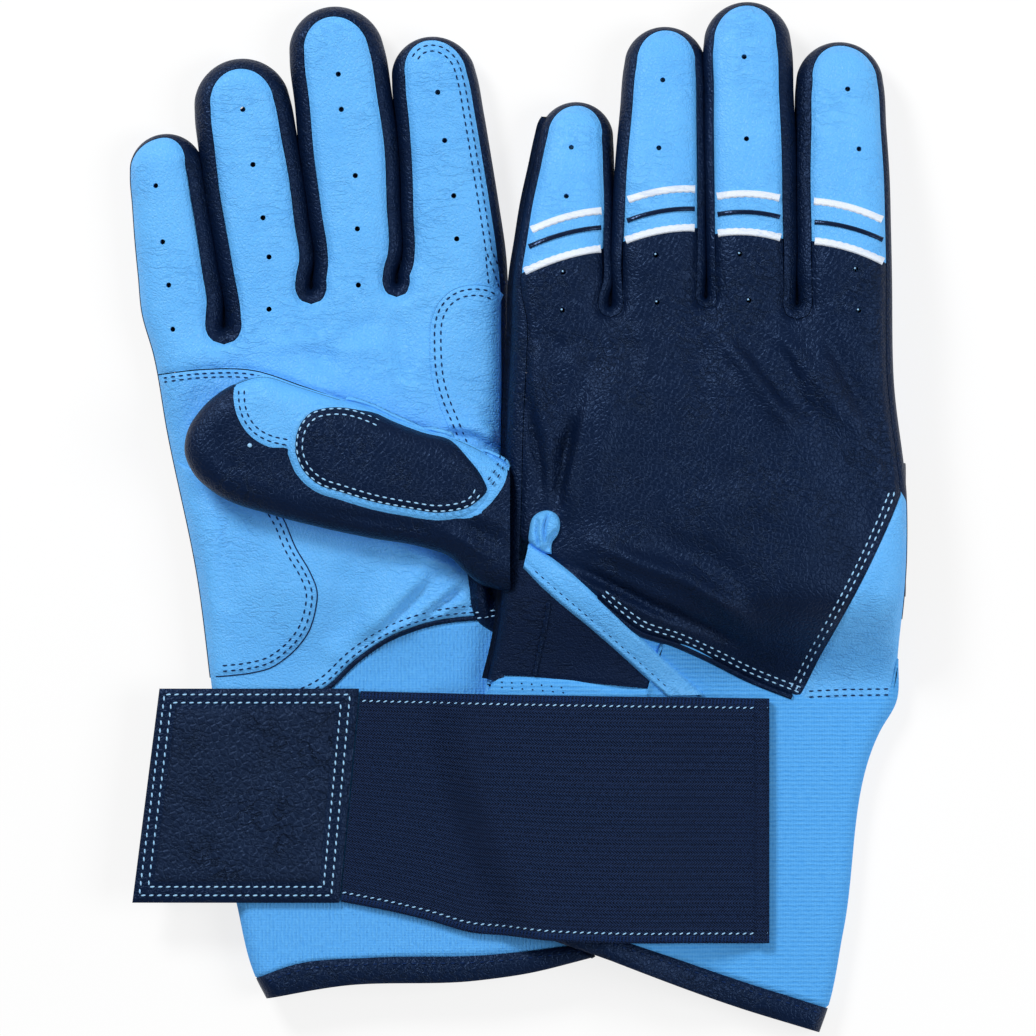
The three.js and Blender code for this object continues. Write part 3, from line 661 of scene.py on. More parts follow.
def filled(loop: Array, holes: Sequence[Array], step: float = MESH_STEP) -> tuple[Array, Array]:
    """Fills a closed loop with small triangles.

    Args:
        loop: The loop's points, counter-clockwise or not.
        holes: Loops that stay open.
        step: The wanted length of an edge.

    Returns:
        The points, the loop's own first, and the triangles, facing up.
    """
    low, high = loop.min(axis=0), loop.max(axis=0)
    xs = np.arange(low[0], high[0], step)
    ys = np.arange(low[1], high[1], step * 0.866)
    grid = np.stack(np.meshgrid(xs, ys), axis=-1)
    grid[1::2, :, 0] += step / 2
    inner = grid.reshape(-1, 2)
    inner = inner[inside(inner, loop)]
    inner = inner[to_line(inner, closed(loop)) > RING_DEPTHS[-1] + step * 0.35]
    rings = []
    way = 1.0 if signed_area(loop) > 0 else -1.0
    wrapped = np.roll(loop, -1, axis=0) - np.roll(loop, 1, axis=0)
    normal = unit(np.column_stack((-wrapped[:, 1], wrapped[:, 0])) * way)
    for depth in RING_DEPTHS:
        drawn_in = loop + normal * depth
        drawn_in = drawn_in[inside(drawn_in, loop)]
        rings.append(drawn_in[to_line(drawn_in, closed(loop)) > depth * 0.93])
    extra = np.vstack([inner, *rings])
    for hole in holes:
        extra = extra[~inside(extra, hole)]
        extra = extra[to_line(extra, closed(hole)) > HOLE_MARGIN]
    points, edges, start = [], [], 0
    for part in (loop, *holes):
        points.append(part)
        edges.extend((start + i, start + (i + 1) % len(part)) for i in range(len(part)))
        start += len(part)
    points.append(extra)
    flat = [Vector(point) for point in np.vstack(points)]
    made = geometry.delaunay_2d_cdt(flat, edges, [], 0, 1e-5)
    out = np.array([tuple(point) for point in made[0]])
    triangles = np.array([face for face in made[2] if len(face) == 3], int)
    centres = out[triangles].mean(axis=1)
    keep = inside(centres, loop)
    for hole in holes:
        keep &= ~inside(centres, hole)
    triangles = triangles[keep]
    a, b, c = (out[triangles[:, i]] for i in range(3))
    turned = (b[:, 0] - a[:, 0]) * (c[:, 1] - a[:, 1]) - (b[:, 1] - a[:, 1]) * (c[:, 0] - a[:, 0])
    triangles[turned < 0] = triangles[turned < 0][:, ::-1]
    triangles = triangles[np.abs(turned) > 1e-6]
    used = np.unique(triangles)
    renumbered = np.full(len(out), -1)
    renumbered[used] = np.arange(len(used))
    return out[used], renumbered[triangles]


def signed_area(loop: Array) -> float:
    """Returns the area inside a loop, above zero if it runs counter-clockwise."""
    after = np.roll(loop, -1, axis=0)
    return float((loop[:, 0] * after[:, 1] - after[:, 0] * loop[:, 1]).sum() / 2)


def ring(centre: Sequence[float], radius: float, count: int = 14) -> Array:
    """Returns the points of a small circle."""
    angles = np.arange(count) * 2 * np.pi / count
    return np.asarray(centre) + radius * np.column_stack((np.cos(angles), np.sin(angles)))


def laid_skin(
    name: str,
    places: Array,
    triangles: Array,
    z: Array,
    side: Side,
    thick: float,
    joints: Array | None = None,
) -> bpy.types.Object:
    """Makes a closed piece from a filled loop and the height of each of its places.

    Args:
        name: The piece's name.
        places: The places on the table.
        triangles: Their triangles, facing up.
        z: The height of the outer skin at each place.
        side: The side that the piece faces.
        thick: Its thickness.
        joints: Known normals where the skin goes on.

    Returns:
        The new object.
    """
    if side is Side.LOWER:
        triangles = triangles[:, ::-1]
    return thick_skin(name, np.column_stack((places, z)), triangles, thick, places, joints)


@dataclass
class Glove:
    """One glove of the pair, lying flat, without its thumb and strap."""

    name: str
    palm_up: bool
    hinges: dict[str, tuple]
    slit_ends: tuple
    left_edge: tuple
    right_edge: tuple
    hem_top: tuple
    hem_end: tuple
    lift: Callable[[Array], Array]
    folds: dict[Side, tuple[Fold, ...]]

    def __post_init__(self) -> None:
        """Draws the outline and measures the seams' places along it."""
        self.hand = f"{self.name}_hand"
        self.frames = {}
        for name, (hinge, tip, bow, half) in self.hinges.items():
            lift = float(self.lift(np.array([hinge]))[0])
            self.frames[name] = Frame(name, np.array(hinge), np.array(tip), bow, half, lift)
        self.outline = Outline(
            self.frames, np.array(self.slit_ends), np.array(self.left_edge), np.array(self.right_edge)
        )
        knuckles = min(frame.hinge[1] for frame in self.frames.values())
        self.surface = Surface(self.outline, self.lift, knuckles, self.folds)
        self.palm_side = Side.UPPER if self.palm_up else Side.LOWER
        self.back_side = Side.LOWER if self.palm_up else Side.UPPER
        self.insets = {
            self.palm_side: self.seam_insets(PALM_SEAMS, PALM_EDGE_SEAM),
            self.back_side: self.seam_insets(BACK_SEAMS, BACK_EDGE_SEAM),
        }
        last = self.outline.marks["index_right"]
        corner = eased(-self.outline.points[last:, 1], -CORNER_TOP, -CORNER_TOP + 4.0)
        inset = self.insets[self.back_side][last:]
        self.insets[self.back_side][last:] = mixed(inset, CORNER_EDGE_SEAM, corner)

    def seam_insets(self, seams: dict[str, Seams], edge: float) -> Array:
        """Returns how far one side's seam lies inside the outline, at each of its points."""
        marks = self.outline.marks
        points = self.outline.points
        result = np.empty(len(points))
        first, last = marks["little_left"], marks["index_right"]
        rise = eased(points[: first + 1, 1], self.slit_ends[0][1] - CROTCH_BELOW, points[first, 1])
        result[: first + 1] = mixed(edge, seams["little"].left, rise)
        rise = eased(points[last:, 1], self.slit_ends[2][1] - CROTCH_BELOW, points[last, 1])
        result[last:] = mixed(INDEX_EDGE_SEAM, seams["index"].right, rise)
        for i, name in enumerate(FINGER_NAMES):
            frame, seam = self.frames[name], seams[name]
            start, stop = marks[f"{name}_left"], marks[f"{name}_right"]
            u, v = frame.local(points[start : stop + 1]).T
            angle = np.where(u > frame.cap, np.arctan2(u - frame.cap, -v), np.where(v < 0, 0.0, np.pi))
            side = np.where(angle < np.pi / 2, seam.left, seam.right)
            result[start : stop + 1] = seam.tip * np.sin(angle) ** 2 + side * np.cos(angle) ** 2
            if i < 3:
                after = FINGER_NAMES[i + 1]
                start, stop = stop, marks[f"{after}_left"]
                centre = marks[f"crotch_{i}"] - start
                steps = np.arange(stop - start + 1) - centre
                share = eased(steps, -12, 12)
                ends = np.where(steps < 0, max(centre, 1), max(stop - start - centre, 1))
                reach = np.clip(np.abs(steps) / ends, 0.0, 1.0)
                narrow = 1.0 - CROTCH_NARROWING[i] * np.sin(math.pi * reach)
                result[start : stop + 1] = mixed(seam.right, seams[after].left, share) * narrow
        return result

    def seam_line(self, side: Side, first: int, last: int, gap: float = SEAM_GAP) -> Array:
        """Returns the seam's places on one side between two marks of the outline."""
        some = slice(first, last + 1)
        inset = (self.insets[side][some] + gap)[:, None]
        return self.outline.points[some] + self.outline.inward[some] * inset

    def hinge_line(self, name: str, side: Side) -> Array:
        """Returns the places across a finger's hinge, from its left seam to its right seam."""
        marks = self.outline.marks
        left = self.seam_line(side, marks[f"{name}_left"], marks[f"{name}_left"])[0]
        right = self.seam_line(side, marks[f"{name}_right"], marks[f"{name}_right"])[0]
        shares = np.linspace(0.0, 1.0, max(6, round(float(np.linalg.norm(right - left)) / MESH_STEP)))
        return left + (right - left) * shares[:, None]

    def slope_normals(self, places: Array, side: Side, frame: Frame) -> Array:
        """Returns the skin's unit normals at places near a finger's hinge."""
        reach = 0.35
        rise = []
        for axis in (0, 1):
            step = np.zeros(2)
            step[axis] = reach
            high = self.surface.height(places + step, side, frame)
            low = self.surface.height(places - step, side, frame)
            rise.append((high - low) / (2 * reach))
        return unit(np.column_stack((-rise[0], -rise[1], np.ones(len(places)))) * side.value)

    def panel(
        self,
        name: str,
        side: Side,
        loop: Array,
        seams: Sequence[Array],
        finger: Frame | None = None,
        holes: Sequence[Array] = (),
        proud: float = 0.0,
        thick: float = LEATHER,
        roll: float = 0.55,
        hinges: Sequence[str] = (),
        step: float = MESH_STEP,
    ) -> bpy.types.Object:
        """Makes a flat-cut piece of the glove, bent over its surface.

        Args:
            name: The piece's name, without the glove's.
            side: The side of the glove.
            loop: The piece's outline on the table.
            seams: The lines where its edge is rolled under.
            finger: The finger that it covers, if it covers one.
            holes: The holes through it.
            proud: How far it stands off the skin.
            thick: Its thickness.
            roll: How far its edge is rolled under.
            hinges: The fingers at whose hinges the leather goes on in another piece.
            step: The wanted length of a mesh edge.

        Returns:
            The new object.
        """
        places, triangles = filled(loop, holes, step)
        z = self.surface.height(places, side, finger) + side.value * proud
        away = np.full(len(places), np.inf)
        for seam in seams:
            away = np.minimum(away, to_line(places, seam))
        z = z - side.value * dent(away, roll, 0.85)
        joints = []
        for hinge in hinges:
            near = np.flatnonzero(to_line(places, self.hinge_line(hinge, side)) < HINGE_REACH)
            found = self.slope_normals(places[near], side, self.frames[hinge])
            joints.append(np.column_stack((near, found)))
        known = np.vstack(joints) if joints else None
        return laid_skin(f"{self.name}_{name}", places, triangles, z, side, thick, known)

    def finger_face(self, name: str, side: Side, holes: Sequence[Array]) -> bpy.types.Object:
        """Makes the leather on one side of a finger."""
        marks = self.outline.marks
        seam = self.seam_line(side, marks[f"{name}_left"], marks[f"{name}_right"])
        hinge = self.hinge_line(name, side)
        loop = np.vstack((seam, hinge[-2:0:-1]))
        kind = "palm" if side is self.palm_side else "back"
        return self.panel(
            f"{name}_{kind}_skin", side, loop, [seam], self.frames[name], holes, hinges=[name]
        )

    def wall(self, name: str, first: int, last: int, finger: Frame | None = None) -> bpy.types.Object:
        """Makes the strip that joins the two sides along part of the outline.

        Args:
            name: The piece's name, without the glove's.
            first: The outline's point where it starts.
            last: The point where it ends.
            finger: The finger that it goes round, if it goes round one.

        Returns:
            The new object.
        """
        base = self.outline.points[first : last + 1]
        inward = self.outline.inward[first : last + 1]
        rounding = self.surface.rounding(base)
        columns = []
        shares = np.linspace(1.0, 0.0, 9)
        for side, course in ((Side.UPPER, shares), (Side.LOWER, shares[-2::-1])):
            inset = self.insets[side][first : last + 1] - SEAM_GAP
            angle = np.arccos(1.0 - np.minimum(inset / rounding, 1.0))
            for share in course:
                depth = np.where(inset < rounding, rounding * (1 - np.cos(angle * share)), inset * share)
                places = base + inward * depth[:, None]
                z = self.surface.height(places, side, finger, depth)
                z = z - side.value * dent(inset - depth, 0.5, 0.8)
                columns.append(np.column_stack((places, z)))
        grid = np.stack(columns, axis=1)
        middle = len(base) // 2
        outward = np.append(-inward[middle], 0.0)
        joints = self.wall_joints(grid, first, last)
        return grid_skin(f"{self.name}_{name}", grid, LEATHER, outward, joints)

    def wall_joints(self, grid: Array, first: int, last: int) -> Array | None:
        """Returns the normals at a wall's ends, where the leather goes on in the next wall."""
        found = []
        marks = self.outline.marks
        ends = {marks[f"{name}_{way}"] for name in FINGER_NAMES for way in ("left", "right")}
        width = grid.shape[1]
        for row, mark in ((0, first), (len(grid) - 1, last)):
            if mark not in ends:
                continue
            course = self.outline.points[mark + 1] - self.outline.points[mark - 1]
            along = np.append(course / np.linalg.norm(course), 0.0)
            normals = unit(np.cross(np.gradient(grid[row], axis=0), along))
            if normals[width // 2, :2] @ self.outline.inward[mark] > 0:
                normals = -normals
            found.append(np.column_stack((row * width + np.arange(width), normals)))
        return np.vstack(found) if found else None

    def side_inset(self, side: Side, way: int, y: Array) -> Array:
        """Returns the inset of a side edge's seam on the hand, at heights on the page."""
        if way > 0:
            corner = eased(-np.asarray(y), -CORNER_TOP, -CORNER_TOP + 4.0)
            back = mixed(INDEX_EDGE_SEAM, CORNER_EDGE_SEAM, corner)
            return np.full_like(back, INDEX_EDGE_SEAM) if side is self.palm_side else back
        return np.full(np.shape(y), PALM_EDGE_SEAM if side is self.palm_side else BACK_EDGE_SEAM)

    def across(self, side: Side, line: Sequence[Sequence[float]], by: float, straight: bool = False) -> Array:
        """Returns the places of a seam across the hand, from left to right.

        Args:
            side: The side of the glove.
            line: The seam as shares of the width and heights.
            by: How far to move it along Y.
            straight: Whether it runs straight between its points.

        Returns:
            The seam's places, kept between the side seams.
        """
        shares = np.linspace(line[0][0], line[-1][0], 90)
        if straight:
            y = np.interp(shares, [at for at, _ in line], [height for _, height in line]) + by
        else:
            y = seam_heights(line, shares) + by
        places = self.outline.at_share(shares, y)
        low = self.outline.left(y) + self.side_inset(side, -1, y) + SEAM_GAP
        high = self.outline.right(y) - self.side_inset(side, 1, y) - SEAM_GAP
        places[:, 0] = np.clip(places[:, 0], low, high)
        return spread(places, 0.8)

    def down_edge(self, side: Side, way: int, top: float, bottom: float) -> Array:
        """Returns the side seam's places between two heights, going down."""
        y = np.linspace(top, bottom, max(2, round(abs(top - bottom) / 0.8)))
        inset = self.side_inset(side, way, y) + SEAM_GAP
        x = self.outline.left(y) + inset if way < 0 else self.outline.right(y) - inset
        return np.column_stack((x, y))

    def knuckle_loop(self, side: Side, bottom: Array) -> tuple[Array, list[Array]]:
        """Returns the outline of the leather between the fingers and a seam, and its seams.

        Args:
            side: The side of the glove.
            bottom: The seam below it, from left to right.

        Returns:
            The closed loop, and the lines in it where the leather is seamed.
        """
        marks = self.outline.marks
        first, last = marks["little_left"], marks["index_right"]
        rise = self.seam_line(side, 0, first)
        rise = rise[rise[:, 1] > bottom[0, 1] + 0.4]
        fall = self.seam_line(side, last, len(self.outline.points) - 1)
        fall = fall[fall[:, 1] > bottom[-1, 1] + 0.4]
        parts, seams = [rise], [np.vstack((bottom[:1], rise))]
        for i, name in enumerate(FINGER_NAMES):
            parts.append(self.hinge_line(name, side)[1:-1])
            if i < 3:
                after = FINGER_NAMES[i + 1]
                crotch = self.seam_line(side, marks[f"{name}_right"], marks[f"{after}_left"])
                parts.append(crotch)
                seams.append(crotch)
        parts.extend((fall, bottom[::-1]))
        seams.extend((fall, bottom))
        return np.vstack(parts), seams

    def band_loop(self, side: Side, top: Array, bottom: Array) -> tuple[Array, list[Array]]:
        """Returns the outline of a piece between two lines across the hand, and its seams."""
        left = spread(np.vstack((bottom[0], top[0])), 0.8)
        right = spread(np.vstack((top[-1], bottom[-1])), 0.8)
        if top[0, 1] - bottom[0, 1] > 2 and abs(self.outline.share_of(top[:1])[0]) < 0.1:
            left = self.down_edge(side, -1, top[0, 1], bottom[0, 1])[::-1]
        if top[-1, 1] - bottom[-1, 1] > 2 and self.outline.share_of(top[-1:])[0] > 0.9:
            right = self.down_edge(side, 1, top[-1, 1], bottom[-1, 1])
        loop = np.vstack((left[1:-1], top, right[1:-1], bottom[::-1]))
        return loop, [left, top, right, bottom]

    def tube(
        self,
        name: str,
        tops: dict[Side, Sequence],
        end: Sequence,
        rows: int,
        tuck: Sequence[float],
        puff: float,
    ) -> bpy.types.Object:
        """Makes a tube round the cuff.

        Args:
            name: The piece's name, without the glove's.
            tops: Its upper edge on each side, as shares and heights.
            end: Its lower edge.
            rows: The steps from one edge to the other.
            tuck: How far it runs on under its neighbours above and below.
            puff: How far its middle swells.

        Returns:
            The new object.
        """
        turn = np.linspace(0.0, math.pi, 110)
        shares = (1.0 - np.cos(turn)) / 2
        heights = {side: seam_heights(tops[side], shares) for side in tops}
        edge = (heights[Side.UPPER] + heights[Side.LOWER]) / 2
        near_edge = 1.0 - eased(np.minimum(shares, 1.0 - shares), 0.0, 0.03)
        low = seam_heights(end, shares)
        grid = []
        for row in range(rows + 1):
            t = row / rows
            circle = []
            for side, order in ((Side.UPPER, slice(None)), (Side.LOWER, slice(-2, 0, -1))):
                top = mixed(heights[side], edge, near_edge)
                y = mixed(top + tuck[0], low - tuck[1], t)
                under = 1.0 - eased(top - y, -0.6, 0.5) * eased(y - low, -0.5, 0.5)
                pull = under * (1.5 if max(tuck) > 0 else 0.0)
                places = self.outline.at_share(shares, y)
                left, right = self.outline.left(y), self.outline.right(y)
                places[:, 0] = np.clip(places[:, 0], left + pull, right - pull)
                z = self.surface.height(places, side) - side.value * pull
                level = fullness(self.outline.depth(places), 3.0)
                z = z + side.value * puff * math.sin(math.pi * t) ** 0.7 * level
                circle.append(np.column_stack((places, z))[order])
            grid.append(np.vstack(circle))
        grid = np.stack(grid)
        count = grid.shape[1]
        triangles = as_triangles(strip_faces(rows + 1, count, True))
        points = grid.reshape(-1, 3)
        if point_normals(points, triangles)[rows // 2 * count + 25, 2] < 0:
            triangles = triangles[:, ::-1]
        return thick_skin(f"{self.name}_{name}", points, triangles, KNIT, points[:, :2])

    def slit_lining(self, i: int) -> bpy.types.Object:
        """Makes the narrow lining that closes the end of the slit between two fingers."""
        end = np.array(self.slit_ends[i])
        ways = [self.frames[name].way for name in FINGER_NAMES[i : i + 2]]
        lean = sum(float(way[0] / way[1]) for way in ways) / 2
        level = float(self.surface.middle(end[None])[0])
        ys, xs = np.meshgrid(np.linspace(9.0, -1.2, 12), np.linspace(-1.4, 1.4, 7), indexing="ij")
        dip = 1.2 * (1.0 - (xs / 1.4) ** 2)
        grid = np.stack((end[0] + xs + ys * lean, end[1] + ys, level + 1.6 - dip), axis=-1)
        name = f"{self.name}_{CROTCH_NAMES[i]}_lining"
        return grid_skin(name, grid, 1.4, UP)

    def face_parts(self, name: str, side: Side, seam: Array, split: Array) -> tuple[Array, Array, Array]:
        """Divides a finger's face along a line across it.

        Args:
            name: The finger's name.
            side: The side of the glove.
            seam: The face's edge, from the left end of its hinge round to the right end.
            split: How far along the finger the line is at its left end, middle and right end.

        Returns:
            The loop below the line, the loop above it, and the line from left to right.
        """
        frame = self.frames[name]
        u, v = frame.local(seam).T
        half = frame.half_width(split[1])
        line_u = np.interp(v, (-half, 0.0, half), split)
        above = np.flatnonzero(u > line_u)
        first, last = above[0], above[-1]
        shares = np.linspace(0.0, 1.0, 24)
        across = mixed(v[first], v[last], shares)
        bow = (split[1] - (split[0] + split[2]) / 2) * 4 * shares * (1 - shares)
        line = frame.place(mixed(split[0], split[2], shares) + bow, across)
        hinge = self.hinge_line(name, side)
        keep = seam[first : last + 1]
        keep = keep[to_line(keep, line) > 0.25]
        low = np.vstack((seam[:first], seam[last + 1 :]))
        far = to_line(low, line) > 0.25
        start = seam[:first][far[:first]]
        stop = seam[last + 1 :][far[first:]]
        below = np.vstack((start, line, stop, hinge[-2:0:-1]))
        return below, np.vstack((keep, line[::-1])), line


def right_lift(places: Array) -> Array:
    """Returns how far the right glove lies above the table."""
    return RIGHT_CUFF_LIFT * eased(-places[:, 1], *WRIST_SLOPE)


def left_lift(places: Array) -> Array:
    """Returns how far the left glove lies above the table."""
    cuff = 1.0 - eased(places[:, 0], 22.0, 60.0)
    return LEFT_HAND_LIFT * mixed(1.0, cuff, eased(-places[:, 1], 20.0, 46.0))


def right_glove() -> Glove:
    """Returns the right glove, palm up."""
    return Glove(
        name="right",
        palm_up=True,
        hinges={
            "little": ((-90.5, 56.6), (-96.1, 103.3), 0.0, (10.9, 10.5, 9.6)),
            "ring": ((-68.0, 66.8), (-76.4, 123.5), 0.0, (12.8, 13.5, 12.6)),
            "middle": ((-43.4, 69.0), (-51.0, 137.6), 1.0, (11.7, 13.2, 12.4)),
            "index": ((-17.8, 70.1), (-24.6, 129.5), 0.8, (13.9, 12.2, 11.0)),
        },
        slit_ends=((-79.4, 51.2), (-55.9, 61.6), (-32.9, 63.2)),
        left_edge=((-98.6, 43.9), (-95, 23.6), (-86.7, -16.9), (-82.9, -46.6), (-75.9, -104.6),
                   (-70.7, -124.3), (-68, -129.5)),
        right_edge=((-2.9, 45), (-3, 0), (-2, -22), (0.3, -46.6), (19.7, -116.8), (20.6, -118.2)),
        hem_top=((0, -124.3), (0.14, -120.3), (0.35, -118.7), (0.67, -118.1), (1, -114.9)),
        hem_end=((0, -129.5), (0.25, -126), (0.65, -124.6), (0.8, -122.7), (1, -118.2)),
        lift=right_lift,
        folds={Side.UPPER: RIGHT_PALM_FOLDS},
    )


def left_glove() -> Glove:
    """Returns the left glove, back up."""
    return Glove(
        name="left",
        palm_up=False,
        hinges={
            "little": ((11.9, 63.3), (16.3, 111.9), 0.0, (13.2, 12.0, 9.6)),
            "ring": ((37.3, 65.5), (39.7, 132.2), 0.0, (12.7, 12.2, 10.6)),
            "middle": ((62.5, 66.3), (61.3, 138.9), 0.0, (12.0, 12.2, 11.4)),
            "index": ((87.2, 64.1), (86.1, 128.1), 0.0, (12.5, 12.5, 11.4)),
        },
        slit_ends=((24.5, 56.8), (50.2, 58.9), (74.6, 57.2)),
        left_edge=((-2.2, 50.6), (-3.5, 23.6), (-4.2, -2.8), (-5.9, -30.6), (-9.8, -49.3),
                   (9, -113.5), (10.5, -119)),
        right_edge=((100.6, 37.1), (104.2, 3.4), (104.2, -10.1), (102.3, -37), (101.7, -50),
                    (97.5, -57.4), (87.5, -111.4), (83.2, -132.6), (81, -138.8)),
        hem_top=((0, -107.2), (0.66, -125.1), (1, -132.6)),
        hem_end=((0, -113.6), (0.66, -131.9), (1, -138.8)),
        lift=left_lift,
        folds={Side.UPPER: LEFT_BACK_FOLDS},
    )


class Finish(Enum):
    """The finishes of the gloves' pieces."""

    SKY_LEATHER = "sky_leather"
    NAVY_LEATHER = "navy_leather"
    SKY_KNIT = "sky_knit"
    SKY_CROSS_KNIT = "sky_cross_knit"
    NAVY_ELASTIC = "navy_elastic"
    NAVY_MESH = "navy_mesh"
    SKY_THREAD = "sky_thread"
    NAVY_THREAD = "navy_thread"
    WHITE_LEATHER = "white_leather"
    NAVY_PIPING = "navy_piping"
    HOOK_PAD = "hook_pad"
    TAB_LEATHER = "tab_leather"


def linear(red: float, green: float, blue: float) -> tuple[float, float, float, float]:
    """Returns a screen colour as the linear colour that Blender's sockets take."""
    parts = [value / 255.0 for value in (red, green, blue)]
    return (*(p / 12.92 if p <= 0.04045 else ((p + 0.055) / 1.055) ** 2.4 for p in parts), 1.0)


@dataclass
class Nodes:
    """Adds nodes to a node tree and joins them."""

    tree: bpy.types.NodeTree

    def add(self, kind: str, values: dict | None = None, **settings: object) -> bpy.types.Node:
        """Adds a node.

        Args:
            kind: The node's type, without its usual first word.
            values: What each input holds: an output to join, or a plain value.
            settings: The node's own settings.

        Returns:
            The new node.
        """
        node = self.tree.nodes.new(f"ShaderNode{kind}")
        for name, value in settings.items():
            setattr(node, name, value)
        self.fill(node, values or {})
        return node

    def fill(self, node: bpy.types.Node, values: dict) -> None:
        """Joins an output, or gives a plain value, to each named input of a node."""
        for name, value in values.items():
            if isinstance(value, bpy.types.NodeSocket):
                self.tree.links.new(value, node.inputs[name])
            else:
                node.inputs[name].default_value = value

    def scaled(self, place: bpy.types.NodeSocket, by: object) -> bpy.types.NodeSocket:
        """Returns a place times three numbers."""
        return self.add("VectorMath", {0: place, 1: by}, operation="MULTIPLY").outputs[0]

    def math(self, operation: str, first: object, second: object = 0.0) -> bpy.types.NodeSocket:
        """Adds a sum of two values and returns its output."""
        return self.add("Math", {0: first, 1: second}, operation=operation).outputs[0]

    def weighted(self, *parts: tuple[bpy.types.NodeSocket, float]) -> bpy.types.NodeSocket:
        """Returns the sum of values, each times its weight."""
        total, *rest = [self.math("MULTIPLY", value, weight) for value, weight in parts]
        for part in rest:
            total = self.math("ADD", total, part)
        return total

    def mix(self, share: object, low: object, high: object) -> bpy.types.NodeSocket:
        """Returns the colour at a share of the way from low to high."""
        return self.add("Mix", {0: share, 6: low, 7: high}, data_type="RGBA").outputs[2]

    def ranged(self, value: object, low: float, high: float) -> bpy.types.NodeSocket:
        """Returns where a value lies between low and high, from 0 to 1."""
        return self.add("MapRange", {"Value": value, 1: low, 2: high}).outputs[0]


def new_group(
    name: str, inputs: dict[str, float], outputs: Sequence[str]
) -> tuple[Nodes, bpy.types.Node, bpy.types.Node]:
    """Makes an empty node group.

    Args:
        name: The group's name.
        inputs: Its number inputs and what they hold at first; a place input is always added.
        outputs: Its number outputs.

    Returns:
        A maker of the group's nodes, and its input and output nodes.
    """
    group = bpy.data.node_groups.new(name, "ShaderNodeTree")
    group.interface.new_socket("Place", in_out="INPUT", socket_type="NodeSocketVector")
    for title, value in inputs.items():
        socket = group.interface.new_socket(title, in_out="INPUT", socket_type="NodeSocketFloat")
        socket.default_value = value
    for title in outputs:
        group.interface.new_socket(title, in_out="OUTPUT", socket_type="NodeSocketFloat")
    return Nodes(group), group.nodes.new("NodeGroupInput"), group.nodes.new("NodeGroupOutput")


def grain_group() -> bpy.types.NodeTree:
    """Makes the leather's grain: pebbles, fine creases and uneven dye, with a crease line that the leather
    also uses for painted shade.
    """
    inputs = {"Pebble": 900.0, "Crease": 500.0, "Stretch": 0.3}
    nodes, given, result = new_group("leather_grain", inputs, ("Height", "Shade", "Line"))
    place = given.outputs["Place"]
    wander = nodes.add("TexNoise", {"Vector": place, "Scale": 260.0, "Detail": 2.0})
    bent = nodes.scaled(wander.outputs["Color"], (0.0014, 0.0014, 0.0014))
    moved = nodes.add("VectorMath", {0: place, 1: bent}, operation="ADD").outputs[0]
    pebbles = nodes.add(
        "TexVoronoi", {"Vector": moved, "Scale": given.outputs["Pebble"]}, feature="DISTANCE_TO_EDGE"
    )
    cell = nodes.math("MINIMUM", pebbles.outputs["Distance"], 0.22)
    ways = nodes.add("CombineXYZ", {0: given.outputs["Stretch"], 1: 1.0, 2: 1.0})
    stretched = nodes.scaled(moved, ways.outputs[0])
    noises = {"Vector": stretched, "Scale": given.outputs["Crease"], "Detail": 3.0, "Roughness": 0.55}
    creases = nodes.add("TexNoise", noises)
    ridge = nodes.math("ABSOLUTE", nodes.math("SUBTRACT", creases.outputs["Fac"], 0.5))
    line = nodes.add("MapRange", {"Value": ridge, 1: 0.0, 2: 0.05, 3: 1.0, 4: 0.0}).outputs[0]
    patches = nodes.add("TexNoise", {"Vector": place, "Scale": 70.0, "Detail": 2.0})
    line = nodes.math("MULTIPLY", line, nodes.ranged(patches.outputs["Fac"], 0.38, 0.62))
    fine = nodes.add("TexNoise", {"Vector": place, "Scale": 1900.0, "Detail": 3.0})
    height = nodes.weighted((cell, 2.0), (line, -0.8), (fine.outputs["Fac"], 0.5))
    dye = nodes.add("TexNoise", {"Vector": place, "Scale": 45.0, "Detail": 5.0, "Roughness": 0.6})
    tone = nodes.ranged(dye.outputs["Fac"], 0.3, 0.7)
    speck = nodes.ranged(fine.outputs["Fac"], 0.3, 0.7)
    shade = nodes.weighted((tone, 0.5), (speck, 0.5))
    nodes.fill(result, {"Height": height, "Shade": shade, "Line": line})
    return nodes.tree


def weave_group() -> bpy.types.NodeTree:
    """Makes a cloth's weave: ribs, finer threads across them and a zigzag, mixed with worn fibres; its shade
    is darker where the weave lies low, as painted shade in the hollows.
    """
    inputs = {"Rib": 6000.0, "Thread": 8000.0, "Zigzag": 0.0, "Regular": 1.0}
    nodes, given, result = new_group("weave", inputs, ("Height", "Shade"))
    place = given.outputs["Place"]
    parts = nodes.add("SeparateXYZ", {0: place})
    swing = nodes.math("PINGPONG", parts.outputs[1], ZIGZAG_STEP)
    along = nodes.math("ADD", parts.outputs[0], nodes.math("MULTIPLY", swing, given.outputs["Zigzag"]))
    ribs = nodes.math("SINE", nodes.math("MULTIPLY", along, given.outputs["Rib"]))
    threads = nodes.math("SINE", nodes.math("MULTIPLY", parts.outputs[1], given.outputs["Thread"]))
    grid = nodes.math("MULTIPLY", nodes.weighted((ribs, 0.5), (threads, 0.2)), given.outputs["Regular"])
    long = nodes.scaled(place, (2600.0, 520.0, 1.0))
    streak = nodes.add("TexNoise", {"Vector": long, "Scale": 1.0, "Detail": 2.0})
    worn = nodes.add("TexNoise", {"Vector": place, "Scale": 1500.0, "Detail": 3.0})
    height = nodes.weighted((grid, 1.0), (streak.outputs["Fac"], 1.1), (worn.outputs["Fac"], 0.7))
    # The colour follows the height: painted shade in the low rows between ribs and threads, with uneven tone
    # from the streaks and worn fibres
    nodes.fill(result, {"Height": height, "Shade": nodes.ranged(height, 0.3, 1.5)})
    return nodes.tree


ZIGZAG_STEP = 0.0012
CLOTH_ROUGHNESS = 0.72
CLOTH_SPECULAR = 0.1
Colour = tuple[float, float, float]


